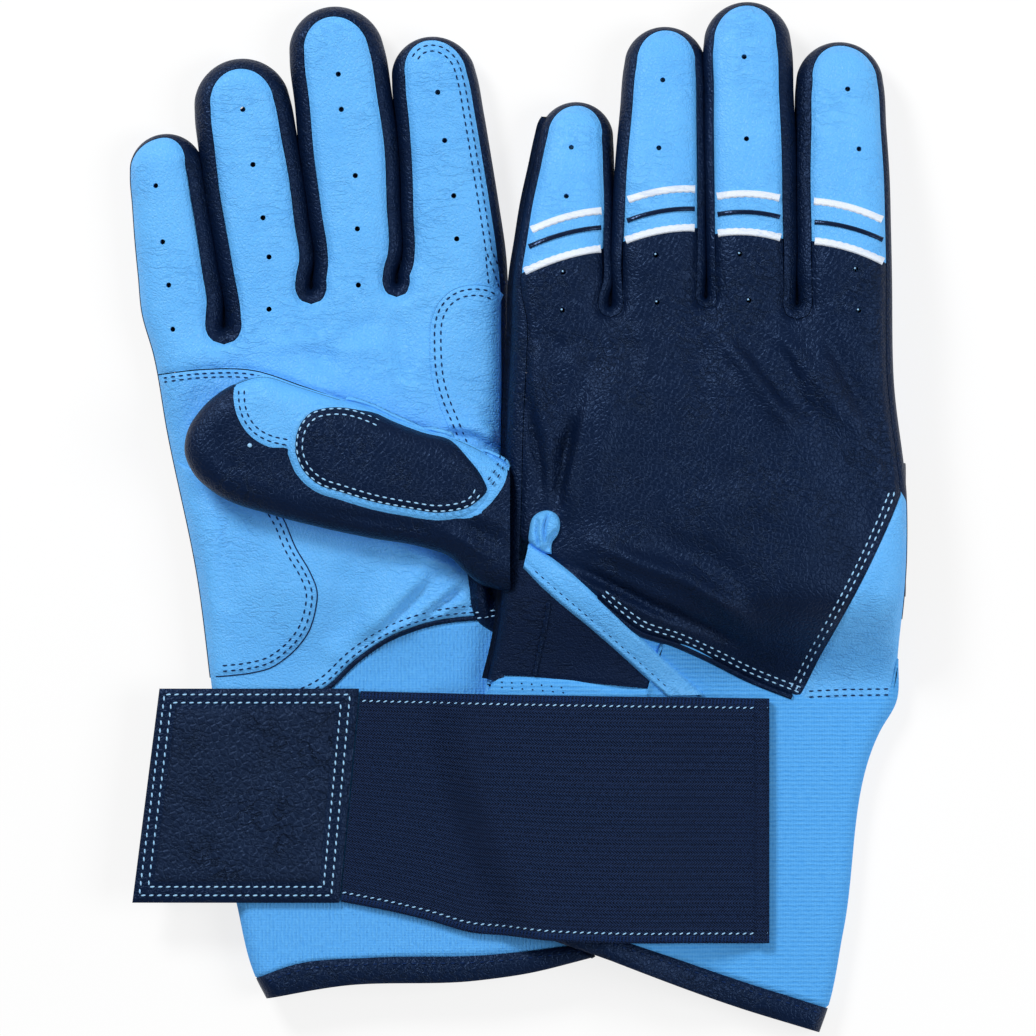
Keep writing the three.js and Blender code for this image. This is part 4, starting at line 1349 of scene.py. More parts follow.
@dataclass(frozen=True)
class Leather:
    """A dyed leather: its colours, the painted shade in its creases, how pebbled and creased it is, and how
    it shines.
    """

    colour: Colour
    deep: Colour
    # The colour that the creases are painted, as painted shade
    crease_shade: Colour
    roughness: float
    specular: float
    tint: Colour = (255, 255, 255)
    pebble: float = 1000.0
    crease: float = 420.0
    stretch: float = 0.3
    # How far the creases are painted in that colour, as painted shade
    crease_shade_share: float = 0.6
    bump: float = 0.6

    def build(self, material: bpy.types.Material, groups: dict[str, bpy.types.NodeTree]) -> None:
        """Fills a material's nodes."""
        nodes = Nodes(material.node_tree)
        shader = material.node_tree.nodes["Principled BSDF"]
        values = {
            "Place": nodes.add("TexCoord").outputs["Object"],
            "Pebble": self.pebble, "Crease": self.crease, "Stretch": self.stretch,
        }
        grain = nodes.add("Group", values, node_tree=groups["grain"]).outputs
        dyed = nodes.mix(grain["Shade"], linear(*self.deep), linear(*self.colour))
        # The fine creases are painted darker in the base colour by this share: painted shade in the creases,
        # besides their bump
        share = nodes.math("MULTIPLY", grain["Line"], self.crease_shade_share)
        bump = nodes.add("Bump", {"Height": grain["Height"], "Strength": self.bump, "Distance": 0.0004})
        span = {"Value": grain["Shade"], 3: self.roughness + 0.08, 4: self.roughness - 0.08}
        nodes.fill(shader, {
            "Base Color": nodes.mix(share, dyed, linear(*self.crease_shade)),
            "Normal": bump.outputs[0],
            "Roughness": nodes.add("MapRange", span).outputs[0],
            "Specular IOR Level": self.specular,
            "Specular Tint": linear(*self.tint),
        })


@dataclass(frozen=True)
class Cloth:
    """A knitted or woven cloth: its colours, with painted shade in its weave's hollows, its ribs and threads,
    and how worn it is.
    """

    colour: Colour
    deep: Colour
    rib: float
    thread: float
    zigzag: float = 0.0
    regular: float = 0.3
    turned: bool = False
    bump: float = 0.6

    def build(self, material: bpy.types.Material, groups: dict[str, bpy.types.NodeTree]) -> None:
        """Fills a material's nodes."""
        nodes = Nodes(material.node_tree)
        shader = material.node_tree.nodes["Principled BSDF"]
        place = nodes.add("UVMap", uv_map="Surface").outputs[0]
        turn = (0.0, 0.0, math.pi / 2 if self.turned else 0.0)
        values = {
            "Place": nodes.add("Mapping", {"Vector": place, "Rotation": turn}).outputs[0],
            "Rib": self.rib, "Thread": self.thread, "Zigzag": self.zigzag, "Regular": self.regular,
        }
        weave = nodes.add("Group", values, node_tree=groups["weave"]).outputs
        bump = nodes.add("Bump", {"Height": weave["Height"], "Strength": self.bump, "Distance": 0.0003})
        # The deep colour is painted where the weave lies low, as painted shade in its hollows
        nodes.fill(shader, {
            "Base Color": nodes.mix(weave["Shade"], linear(*self.deep), linear(*self.colour)),
            "Normal": bump.outputs[0],
            "Roughness": CLOTH_ROUGHNESS,
            "Specular IOR Level": CLOTH_SPECULAR,
        })


BLUE_SHINE = (150, 190, 255)
# The sky leather's crease colour: painted shade in its creases
SKY_CREASE_SHADE = (70, 150, 226)
# Each leather's third colour is the painted shade in its creases
RECIPES = {
    Finish.SKY_LEATHER: Leather(
        (104, 186, 250), (86, 171, 244), SKY_CREASE_SHADE, 0.46, 0.3, crease_shade_share=0.3, bump=0.55
    ),
    Finish.NAVY_LEATHER: Leather(
        (7, 22, 50), (4, 16, 40), (2, 8, 22), 0.4, 0.34, BLUE_SHINE, 820.0, 380.0, 0.8, 0.7, 0.5
    ),
    Finish.TAB_LEATHER: Leather(
        (18, 31, 56), (11, 21, 42), (4, 11, 26), 0.42, 0.34, BLUE_SHINE, 560.0, 300.0, 0.7, 0.8, 0.9
    ),
    Finish.SKY_KNIT: Cloth((104, 186, 251), (70, 154, 236), rib=6200.0, thread=9000.0, bump=0.9),
    Finish.SKY_CROSS_KNIT: Cloth(
        (98, 180, 246), (66, 152, 230), rib=5200.0, thread=9000.0, turned=True, regular=0.5
    ),
    Finish.NAVY_ELASTIC: Cloth(
        (34, 56, 98), (3, 10, 27), rib=7600.0, thread=6000.0, zigzag=1.3, regular=1.0, bump=1.0
    ),
    Finish.NAVY_MESH: Leather((13, 26, 53), (9, 20, 44), (4, 10, 26), 0.5, 0.25, BLUE_SHINE, 1200.0),
    Finish.SKY_THREAD: Leather(
        (170, 215, 248), (140, 197, 244), SKY_CREASE_SHADE, 0.45, 0.3, crease_shade_share=0.0, bump=0.2
    ),
    Finish.NAVY_THREAD: Leather(
        (22, 44, 88), (14, 32, 70), (8, 20, 48), 0.5, 0.2, BLUE_SHINE, crease_shade_share=0.0, bump=0.2
    ),
    Finish.WHITE_LEATHER: Leather((232, 239, 248), (214, 226, 242), (180, 200, 228), 0.45, 0.3, bump=0.25),
    Finish.NAVY_PIPING: Leather(
        (10, 22, 48), (7, 16, 38), (4, 10, 26), 0.25, 0.5, BLUE_SHINE, crease_shade_share=0.0, bump=0.15
    ),
    Finish.HOOK_PAD: Cloth((12, 22, 42), (5, 10, 22), rib=9000.0, thread=9000.0, regular=1.0, bump=1.0),
}


@dataclass
class Dresser:
    """Gives pieces their finish and a line in the log, and hangs each on its body, but a piece of a bending
    part only has its place baked.
    """

    materials: dict[Finish, bpy.types.Material] = field(default_factory=dict)
    groups: dict[str, bpy.types.NodeTree] = field(default_factory=dict)
    joints: dict[str, tuple] = field(default_factory=dict)

    def __post_init__(self) -> None:
        """Makes the shared node groups."""
        self.groups = {"grain": grain_group(), "weave": weave_group()}

    def material(self, finish: Finish) -> bpy.types.Material:
        """Returns the material of a finish, made once."""
        if finish not in self.materials:
            made = bpy.data.materials.new(finish.value)
            made.use_nodes = True
            RECIPES[finish].build(made, self.groups)
            self.materials[finish] = made
        return self.materials[finish]

    def dress(self, piece: bpy.types.Object, finish: Finish, body: str, *nodes: str) -> bpy.types.Object:
        """Finishes a piece.

        Args:
            piece: The new piece.
            finish: Its finish.
            body: The body that it rides on, or a bending part's name.
            nodes: The nodes that it stands for.

        Returns:
            The piece.
        """
        piece.data.materials.append(self.material(finish))
        if body in self.joints:
            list(self.joints[body])
            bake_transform(piece)
        else:
            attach(piece, body)
        if nodes:
            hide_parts(*nodes)
        LOG.info("%s: %s on %s", piece.name, finish.value, body)
        return piece


Height = Callable[[Array], Array]


@dataclass
class Sewing:
    """Rows of stitches, and painted highlight spots, gathered by what they ride on and by their thread."""

    dresser: Dresser
    rows: dict[tuple[str, Finish], list[Array]] = field(default_factory=dict)

    def __post_init__(self) -> None:
        """Models the one stitch that all the rows copy."""
        bpy.ops.mesh.primitive_uv_sphere_add(segments=6, ring_count=4, radius=0.5)
        shape = bpy.context.object
        bpy.ops.object.mode_set(mode="EDIT")
        bpy.ops.mesh.select_all(action="SELECT")
        bpy.ops.transform.rotate(value=math.pi / 2, orient_axis="Y", center_override=(0.0, 0.0, 0.0))
        bpy.ops.mesh.quads_convert_to_tris()
        bpy.ops.object.mode_set(mode="OBJECT")
        self.points = np.array([tuple(vertex.co) for vertex in shape.data.vertices])
        faces = []
        for polygon in shape.data.polygons:
            face = tuple(polygon.vertices)
            low = face.index(min(face))
            faces.append(face[low:] + face[:low])
        # Blender gives the faces in another order at each run
        self.faces = np.array(sorted(faces))
        bpy.data.objects.remove(shape)

    def row(
        self,
        body: str,
        thread: Finish,
        line: Array,
        height: Height,
        side: Side = Side.UPPER,
        pitch: float = 2.15,
        long: float = 1.35,
        wide: float = 0.46,
        slant: float = 0.0,
    ) -> None:
        """Sews a row of stitches along a line.

        Args:
            body: What the stitches ride on.
            thread: The thread.
            line: The row's places.
            height: The height of the surface at places.
            side: Which way the surface faces.
            pitch: The distance from one stitch to the next.
            long: A stitch's length.
            wide: Its width.
            slant: How far each stitch is turned from the row, in degrees.
        """
        places = spread(line, pitch)
        places = mixed(places[:-1], places[1:], 0.5)
        course = unit(np.diff(spread(line, pitch), axis=0))
        turn = math.radians(slant)
        way = course * math.cos(turn) + np.column_stack((-course[:, 1], course[:, 0])) * math.sin(turn)
        reach = way * long * 0.4
        rise = (height(places + reach) - height(places - reach)) / (long * 0.8)
        along = unit(np.column_stack((way, rise)))
        cross = np.column_stack((-way[:, 1], way[:, 0], np.zeros(len(way))))
        up = np.cross(along, cross)
        centre = np.column_stack((places, height(places))) + up * side.value * wide * 0.14
        thick = wide * 0.8
        made = (
            centre[:, None, :]
            + self.points[None, :, :1] * along[:, None, :] * long
            + self.points[None, :, 1:2] * cross[:, None, :] * wide
            + self.points[None, :, 2:] * up[:, None, :] * thick
        )
        self.rows.setdefault((body, thread), []).append(made.reshape(-1, 3))

    def dot(self, body: str, thread: Finish, place: Array, height: Height, side: Side, wide: float) -> None:
        """Makes a small round spot."""
        line = np.array([place - (0.3, 0.0), place + (0.3, 0.0)])
        self.row(body, thread, line, height, side, pitch=0.6, long=wide, wide=wide)

    def finish(self) -> None:
        """Makes one piece of each thread's stitches on each body, with any painted highlight spots in its
        holes.
        """
        count = len(self.points)
        for (body, thread), parts in self.rows.items():
            points = np.vstack(parts)
            starts = np.arange(len(points) // count) * count
            faces = (self.faces[None] + starts[:, None, None]).reshape(-1, 3)
            piece = make_mesh(f"{body}_{thread.value}_stitches", points, [faces], points[:, :2])
            self.dresser.dress(piece, thread, body)


def ribbon(
    name: str,
    line: Array,
    half: tuple[Array | float, Array | float],
    height: Height,
    rise: float,
    side: Side = Side.UPPER,
    columns: int = 7,
    sink: float = 0.35,
) -> bpy.types.Object:
    """Makes a raised strip along a line on a surface.

    Args:
        name: The piece's name.
        line: The strip's middle.
        half: How far it reaches to the right and to the left of its course.
        height: The height of the surface at places.
        rise: How far its middle stands off the surface.
        side: Which way the surface faces.
        columns: The points across it.
        sink: How far its edges go into the surface.

    Returns:
        The new object.
    """
    grid = []
    for share in np.linspace(-1.0, 1.0, columns):
        reach = np.asarray(half[0] if share > 0 else half[1]) * share
        places = beside(line, reach)
        lift = rise * math.sqrt(max(1.0 - share**4, 0.0)) - (sink if abs(share) == 1.0 else 0.0)
        grid.append(np.column_stack((places, height(places) + side.value * lift)))
    return grid_skin(name, np.stack(grid, axis=1), 0.45, UP * side.value)


PALM_HOLES = {
    "little": ((157, 187), (164, 243), (170, 286)),
    "ring": ((244, 111), (254, 166), (264, 219), (270, 258)),
    "middle": ((339, 76), (342, 111), (356, 177), (358, 230)),
    "index": ((438, 94), (445, 142), (454, 197), (457, 240)),
}
BACK_HOLES = {
    "little": ((571, 149), (566, 198), (563, 274)),
    "ring": ((662, 82), (658, 150), (655, 257)),
    "middle": ((743, 59), (745, 141), (738, 256)),
    "index": ((846, 91), (857, 151), (853, 271)),
}
PALM_PANEL_HOLES = ((174, 330), (270, 310), (359, 286))
BACK_PANEL_HOLES = ((562, 312), (656, 304), (747, 302), (856, 312))
HOLE_RADIUS = 0.72
HOLE_CLEARANCE = 1.6
# Where the painted highlight sits in each hole, off its middle
HOLE_HIGHLIGHT_SHIFT = (-0.2, 0.25)

# The stripes across the fingers' backs: their middles at the left and right ends, from tip to hand
STRIPES = {
    "little": (((528, 233), (601, 212)), ((528, 250), (601, 229)), ((522, 275), (599, 250))),
    "ring": (((627, 203), (695, 191)), ((628, 224), (694, 211)), ((628, 244), (694, 230))),
    "middle": (((714, 199), (777, 201)), ((714, 217), (777, 220)), ((714, 236), (776, 241))),
    "index": (((814, 203), (886, 223)), ((814, 224), (885, 243)), ((812, 243), (888, 265))),
}
STRIPE_BOW = 1.1
STRIPE_STEP = 0.4
WHITE_HALF = 1.08
PIPING_HALF = 0.72

# The stitched patches and seams on the palm, in the photograph of the right glove
INDEX_PATCH = (
    (509, 303), (496, 290), (477, 285.5), (454, 290), (439, 303), (432, 319), (430.5, 344), (431, 362),
    (434, 385), (440, 405), (448, 424), (457, 446), (470, 476), (490, 496), (510, 502),
)
HEEL_PATCH = (
    (236, 458), (262, 487), (284, 518), (297, 548), (311, 572), (318, 591), (316.5, 609), (309, 632),
    (299, 646), (286, 658), (272, 667), (254, 672), (231, 675), (208, 676.5),
)
INDEX_ROWS = (
    ((486.5, 253), (493, 270), (500, 290)),
    ((492.5, 253), (499, 268), (506, 287)),
    ((486, 256), (487, 270), (489, 286)),
)
BACK_BOTTOM = (
    (523, 538), (549, 556), (582, 586), (612, 613), (640, 633),
    (671, 643), (705, 658), (747, 679), (797, 699),
)
BINDING_TOP = ((529, 543), (548, 555), (637, 634), (705, 694))
BINDING_ROW = 0.72
BACK_ROWS_START = 20.0
BINDING_LOW = ((523, 568), (538, 584), (600, 637), (664, 695))
KNOT_EDGE = (
    (551.5, 554), (545, 553), (537, 549), (529, 542), (529, 529), (532.5, 517), (541, 511), (550, 510.5),
    (558, 516), (560, 527), (557, 536), (552.5, 542), (551.5, 554),
)
KNOT_CREASES = (
    ((549, 514), (545.5, 521), (544, 533), (546, 549)), ((560, 531), (554, 533.5), (550.5, 539), (549, 549)),
    ((537, 521), (536, 532), (538, 543)),
)
KNIT_CORNER = ((633, 629), (645, 631), (661, 640), (661, 657), (650, 649), (640, 641))
PIN_ROWS = (((497, 681), (530, 683), (566, 687)), ((497, 686), (530, 688.5), (568, 692)))
OUTER_STRIP_END = -43.0
INDEX_STRIP_END = -27.0
GUSSET_SEAM = ((547, 600), (546, 610), (540, 640), (533, 674))
GUSSET_LOW = ((491, 674), (533, 676), (589, 682), (660, 689))


@dataclass
class GloveMaker:
    """Builds all the pieces of one glove but its thumb and strap."""

    glove: Glove
    palm_drawing: Glove
    back_drawing: Glove
    dresser: Dresser
    sewing: Sewing
    gap: float = 0.15

    def __post_init__(self) -> None:
        """Names the sides and the bending fingers."""
        self.name, self.hand = self.glove.name, self.glove.hand
        self.palm, self.back = self.glove.palm_side, self.glove.back_side
        for finger in FINGER_NAMES:
            frame = self.glove.frames[finger]
            height = 6.5 + frame.lift
            ends = [tuple(np.append(frame.hinge + frame.way * u, height) * MM) for u in (0.0, FINGER_BLEND)]
            body = f"{self.name}_{finger}_finger"
            self.dresser.joints[f"{self.name}_{finger}"] = (self.hand, body, *ends)

    def drawn(self, side: Side, pixels: Iterable[Sequence[float]]) -> Array:
        """Returns drawn places on this glove, carried over where only the other glove shows them."""
        places = from_photo(pixels)
        source = self.palm_drawing if side is self.palm else self.back_drawing
        if source is self.glove:
            return places
        return self.glove.outline.at_share(source.outline.share_of(places), places[:, 1])

    def on_finger(self, finger: str, side: Side, pixels: Iterable[Sequence[float]]) -> Array:
        """Returns how far along and across this glove's finger the drawn places are."""
        source = self.palm_drawing if side is self.palm else self.back_drawing
        drawn, frame = source.frames[finger], self.glove.frames[finger]
        local = drawn.local(from_photo(pixels))
        across = local[:, 1] / drawn.half_width(local[:, 0])
        along = local[:, 0] * frame.length / drawn.length
        return np.column_stack((along, across * frame.half_width(along)))

    def height(self, side: Side, proud: float = 0.0, finger: str | None = None) -> Height:
        """Returns the height of one side's surface, or of what stands proud of it."""
        frame = self.glove.frames[finger] if finger else None
        return lambda places: self.glove.surface.height(places, side, frame) + side.value * proud

    def piece(
        self,
        name: str,
        finish: Finish,
        side: Side,
        cut: tuple[Array, Sequence[Array]],
        node: str = "",
        **how: object,
    ) -> None:
        """Makes a panel that rides on the hand.

        Args:
            name: The piece's name, without the glove's.
            finish: Its finish.
            side: The side of the glove.
            cut: Its outline, and the lines where its edge is rolled under.
            node: The node that it stands for, without the glove's name, if it stands for one.
            how: What else the panel is given.
        """
        made = self.glove.panel(name, side, *cut, **how)
        self.dresser.dress(made, finish, self.hand, *([f"{self.name}_{node}"] if node else []))

    def strip(
        self,
        name: str,
        finish: Finish,
        side: Side,
        line: Array,
        half: tuple[float, float],
        proud: float,
        rise: float,
        **how: object,
    ) -> None:
        """Makes a raised strip that rides on the hand.

        Args:
            name: The piece's name, without the glove's.
            finish: Its finish.
            side: The side of the glove.
            line: The strip's middle.
            half: How far it reaches to the right and to the left of its course.
            proud: How far what it lies on stands off the skin.
            rise: How far its middle stands off that.
            how: What else the ribbon is given.
        """
        made = ribbon(f"{self.name}_{name}", line, half, self.height(side, proud), rise, side, **how)
        self.dresser.dress(made, finish, self.hand)

    def hole_highlights(self, body: str, circles: Sequence[Array], finger: str | None = None) -> None:
        """Makes the painted highlight in each of the back's holes: a pale spot, moved up and to the left, for
        the light that falls inside the hole.
        """
        for circle in circles:
            spot = circle.mean(axis=0) + HOLE_HIGHLIGHT_SHIFT
            level = self.height(self.back, -0.35, finger)
            self.sewing.dot(body, Finish.SKY_THREAD, spot, level, self.back, 0.6)

    def circles(self, finger: str, side: Side, holes: dict[str, tuple]) -> list[Array]:
        """Returns the holes through one side of a finger that lie clear of its hinge."""
        frame = self.glove.frames[finger]
        places = self.on_finger(finger, side, holes[finger])
        return [ring(frame.place(u, v), HOLE_RADIUS) for u, v in places if u > HOLE_CLEARANCE]

    def build(self) -> None:
        """Builds the glove."""
        for finger in FINGER_NAMES:
            self.build_finger(finger)
        self.build_edges()
        self.build_palm()
        self.build_back()
        self.build_cuff()

    def build_finger(self, finger: str) -> None:
        """Makes a finger's two faces, its wall, its stripes and its stitches."""
        glove, marks = self.glove, self.glove.outline.marks
        frame = glove.frames[finger]
        bend = f"{self.name}_{finger}"
        first, last = marks[f"{finger}_left"], marks[f"{finger}_right"]
        face = glove.finger_face(finger, self.palm, self.circles(finger, self.palm, PALM_HOLES))
        self.dresser.dress(face, Finish.SKY_LEATHER, bend, f"{bend}_palm_face")
        wall = glove.wall(f"{finger}_wall", first, last, frame)
        self.dresser.dress(wall, Finish.NAVY_LEATHER, bend, f"{bend}_side_wall")
        if finger == "index":
            seam = glove.seam_line(self.palm, marks["index_cap"] + 14, last)
            level = self.height(self.palm, 0.0, finger)
            for inset in (1.3, 2.9):
                self.sewing.row(bend, Finish.NAVY_THREAD, beside(seam, inset), level, self.palm)

        seam = glove.seam_line(self.back, first, last)
        lines = []
        for ends in STRIPES[finger]:
            (low, _), (high, _) = self.on_finger(finger, self.back, ends)
            lines.append((low, (low + high) / 2 + STRIPE_BOW, high))
        below, above, _ = glove.face_parts(finger, self.back, seam, lines[2])
        holes = self.circles(finger, self.back, BACK_HOLES)
        upper = [hole for hole in holes if inside(hole[:1], above)[0]]
        lower = [hole for hole in holes if inside(hole[:1], below)[0]]
        made = glove.panel(f"{finger}_back_skin", self.back, above, [seam], frame, upper)
        self.dresser.dress(made, Finish.SKY_LEATHER, bend, f"{bend}_back_face")
        made = glove.panel(f"{finger}_knuckle_skin", self.back, below, [seam], frame, lower, hinges=[finger])
        self.dresser.dress(made, Finish.NAVY_LEATHER, bend)
        # Painted highlights in the knuckle skin's holes
        self.hole_highlights(bend, lower, finger)
        for i, split in enumerate(lines):
            line = spread(glove.face_parts(finger, self.back, seam, split)[2], STRIPE_STEP)[2:-2]
            level = self.height(self.back, 0.0, finger)
            if i == 1:
                half, rise, finish = (PIPING_HALF, PIPING_HALF), 0.62, Finish.NAVY_PIPING
            else:
                run = np.arange(len(line)) * STRIPE_STEP
                ragged = WHITE_HALF + 0.22 * np.abs(np.sin(run * math.pi / 1.9))
                half = (ragged, WHITE_HALF) if i == 0 else (WHITE_HALF, ragged)
                rise, finish = 0.42, Finish.WHITE_LEATHER
            stripe = ribbon(f"{bend}_stripe_{i}", line, half, level, rise, self.back)
            self.dresser.dress(stripe, finish, bend)

    def build_edges(self) -> None:
        """Makes the rolled strips between the fingers and down the hand's two sides."""
        glove, marks = self.glove, self.glove.outline.marks
        for i, crotch in enumerate(CROTCH_NAMES):
            first, last = marks[f"{FINGER_NAMES[i]}_right"], marks[f"{FINGER_NAMES[i + 1]}_left"]
            made = glove.wall(f"{crotch}_fold", first, last)
            self.dresser.dress(made, Finish.NAVY_LEATHER, self.hand, f"{self.name}_crotch_{crotch}")
            self.dresser.dress(glove.slit_lining(i), Finish.NAVY_LEATHER, self.hand)
        y = glove.outline.points[:, 1]
        left, right = marks["little_left"], marks["index_right"]
        low_left = int(np.argmin(np.abs(y[:left] - OUTER_STRIP_END)))
        low_right = right + int(np.argmin(np.abs(y[right:] - INDEX_STRIP_END)))
        for kind, first, last in (("outer_side", low_left, left), ("index_side", right, low_right)):
            made = glove.wall(f"{kind}_wall", first, last)
            self.dresser.dress(made, Finish.NAVY_LEATHER, self.hand, f"{self.name}_{kind}_strip")

    def rows(
        self,
        thread: Finish,
        side: Side,
        line: Array,
        insets: Sequence[float],
        proud: float = 0.0,
        **how: float,
    ) -> None:
        """Sews rows on the hand beside a line."""
        for inset in insets:
            self.sewing.row(self.hand, thread, beside(line, inset), self.height(side, proud), side, **how)

    def build_palm(self) -> None:
        """Makes the palm's leather, its patches and their seams."""
        glove, palm = self.glove, self.palm
        cross = glove.across(palm, CROSS_SEAM, self.gap)
        holes = [ring(place, HOLE_RADIUS) for place in self.drawn(palm, PALM_PANEL_HOLES)]
        cut = glove.knuckle_loop(palm, cross)
        how = {"hinges": FINGER_NAMES, "holes": holes}
        self.piece("palm_leather", Finish.SKY_LEATHER, palm, cut, "palm_panel", **how)
        low = glove.across(palm, PALM_WRIST, self.gap)
        cut = glove.band_loop(palm, glove.across(palm, CROSS_SEAM, -self.gap), low)
        self.piece("heel_leather", Finish.SKY_LEATHER, palm, cut, "palm_heel")
        self.rows(Finish.NAVY_THREAD, palm, curve(cross[1:]), (1.2, 2.3))
        self.rows(Finish.NAVY_THREAD, palm, curve(low[2:-2]), (-1.6, -3.3))
        for pixels in INDEX_ROWS:
            self.rows(Finish.NAVY_THREAD, palm, curve(self.drawn(palm, pixels)), (0.0,))
        self.strip("wrist_binding", Finish.NAVY_LEATHER, palm, curve(low), (0.75, 0.75), -0.2, 0.8)
        # Each patch gets a thin strip along its edge; the heel patch's is dark navy, partly its dyed edge and
        # partly painted shadow along the edge
        for name, pixels, way, inset, rows, shown in (
            ("index_patch", INDEX_PATCH, 1, -0.5, (-1.2, -2.9), Finish.SKY_LEATHER),
            ("heel_patch", HEEL_PATCH, -1, 0.9, (1.3, 2.8), Finish.NAVY_THREAD),
        ):
            edge = curve(self.drawn(palm, pixels))
            shut = glove.down_edge(palm, way, edge[-1, 1], edge[0, 1]) + (inset, 0.0)
            edge = edge[inside(edge, self.hand_loop(1.0))]
            loop = np.vstack((edge, shut[1:-1]))
            cut = (loop, [closed(loop)])
            self.piece(name, Finish.SKY_LEATHER, palm, cut, proud=0.45, thick=0.8, roll=0.4)
            self.rows(Finish.NAVY_THREAD, palm, edge[2:-2], rows, 0.45)
            self.strip(f"{name}_edge", shown, palm, edge, (0.2, 0.2), 0.1, 0.22, columns=3, sink=0.1)

    def hand_loop(self, inset: float) -> Array:
        """Returns the hand's outline drawn in by a distance."""
        y = np.linspace(80.0, -60.0, 100)
        left = np.column_stack((self.glove.outline.left(y) + inset, y))
        right = np.column_stack((self.glove.outline.right(y) - inset, y))
        return np.vstack((left, right[::-1]))

    def build_back(self) -> None:
        """Makes the back's leather, the wrist slit with its binding, and the corner."""
        glove, back = self.glove, self.back
        bottom = curve(self.drawn(back, BACK_BOTTOM))
        start = glove.outline.left(bottom[0, 1]) + glove.side_inset(back, -1, bottom[0, 1]) + SEAM_GAP
        bottom = np.vstack(((float(start), bottom[0, 1] + 0.6), bottom[bottom[:, 0] > start + 0.8]))
        corner = glove.across(back, BACK_CORNER, self.gap, straight=True)
        holes = [ring(place, HOLE_RADIUS) for place in self.drawn(back, BACK_PANEL_HOLES)]
        cut = glove.knuckle_loop(back, np.vstack((bottom[:-1], corner)))
        how = {"hinges": FINGER_NAMES, "holes": holes}
        self.piece("back_leather", Finish.NAVY_LEATHER, back, cut, "back_panel", **how)
        # Painted highlights in the back panel's holes
        self.hole_highlights(self.hand, holes)
        edge = bottom[bottom[:, 0] > bottom[0, 0] + BACK_ROWS_START]
        self.rows(Finish.SKY_THREAD, back, edge, (-1.9, -3.3))
        self.rows(Finish.SKY_THREAD, back, corner[2:-3], (-1.6, -3.1))
        self.strip("back_piping", Finish.NAVY_LEATHER, back, edge[:-2], (0.9, 0.9), -0.3, 0.9)
        top = glove.across(back, CORNER_UPPER, -self.gap, straight=True)
        low = glove.across(back, CORNER_LOWER, self.gap, straight=True)
        low = low[low[:, 0] > top[0, 0]]
        cut = glove.band_loop(back, top, low)
        self.piece("corner_leather", Finish.SKY_LEATHER, back, cut, "wrist_corner_panel")
        self.rows(Finish.NAVY_THREAD, back, low[3:-2], (-1.5, -3.1))
        self.build_slit()
        self.build_gusset()

    def build_slit(self) -> None:
        """Makes the binding of the wrist slit, its knot and the knit beside it."""
        back = self.back
        upper, lower = (resampled(curve(self.drawn(back, rail)), 70) for rail in (BINDING_TOP, BINDING_LOW))
        grid = []
        for share in np.linspace(0.0, 1.0, 13):
            places = mixed(upper, lower, share)
            tuck = 0.5 if share in (0.0, 1.0) else 0.0
            puff = 1.5 * math.sqrt(max(1.0 - (2 * share - 1) ** 6, 0.0)) - tuck
            rise = puff - dent(share - BINDING_ROW, 0.45, 0.07) + 0.12 * ripple(places, 3.0, 5.5)
            grid.append(np.column_stack((places, self.height(back)(places) + back.value * rise)))
        strip = grid_skin(f"{self.name}_slit_strip", np.stack(grid, axis=1), 0.9, UP * back.value)
        self.dresser.dress(strip, Finish.SKY_LEATHER, self.hand, f"{self.name}_slit_binding")
        row = spread(mixed(upper, lower, BINDING_ROW), 0.8)[4:-4]
        self.rows(Finish.NAVY_THREAD, back, row, (0.0,), 1.1, wide=0.32, long=1.1)
        self.build_knot()
        corner = curve(self.drawn(back, KNIT_CORNER + KNIT_CORNER[:1]))[:-1]
        self.piece("cuff_knit_corner", Finish.SKY_CROSS_KNIT, back, (corner, []), proud=-0.5, thick=0.7)

    def build_gusset(self) -> None:
        """Makes the mesh between the slit and the side strip, with its fold."""
        back = self.back
        seam, base = curve(self.drawn(back, GUSSET_SEAM)), curve(self.drawn(back, GUSSET_LOW))
        lower = curve(self.drawn(back, BINDING_LOW))
        diagonal = lower[lower[:, 1] > base[-1, 1] - 3.0] + (3.4, 3.0)
        y = np.linspace(-12, -42.4, 9)
        edge = curve(np.column_stack((self.glove.outline.left(y) + BACK_EDGE_SEAM - 2.4, y)))
        loop = np.vstack((edge, base[base[:, 0] > edge[-1, 0] + 0.6], diagonal[::-1]))
        self.piece("gusset_mesh", Finish.NAVY_MESH, back, (loop, [base]), "vent_gusset", roll=0.4)
        self.rows(Finish.NAVY_THREAD, back, seam, (0.0,), wide=0.45)
        self.strip("gusset_fold", Finish.NAVY_LEATHER, back, seam, (0.1, 1.3), 0.0, 0.5)

    def build_knot(self) -> None:
        """Makes the small folded loop at the head of the wrist slit."""
        back = self.back
        loop = curve(self.drawn(back, KNOT_EDGE), 0.4)[:-1]
        places, triangles = filled(loop, [], 0.4)
        away = to_line(places, closed(loop))
        rise = 3.2 * fullness(away, 2.9) - 0.5
        for pixels in KNOT_CREASES:
            crease = to_line(places, curve(self.drawn(back, pixels), 0.4))
            rise = rise - dent(crease, 1.3, 0.5) * eased(away, 0.0, 0.9)
        z = self.height(back)(places) + back.value * rise
        knot = laid_skin(f"{self.name}_slit_knot", places, triangles, z, back, 0.8)
        self.dresser.dress(knot, Finish.SKY_LEATHER, self.hand)

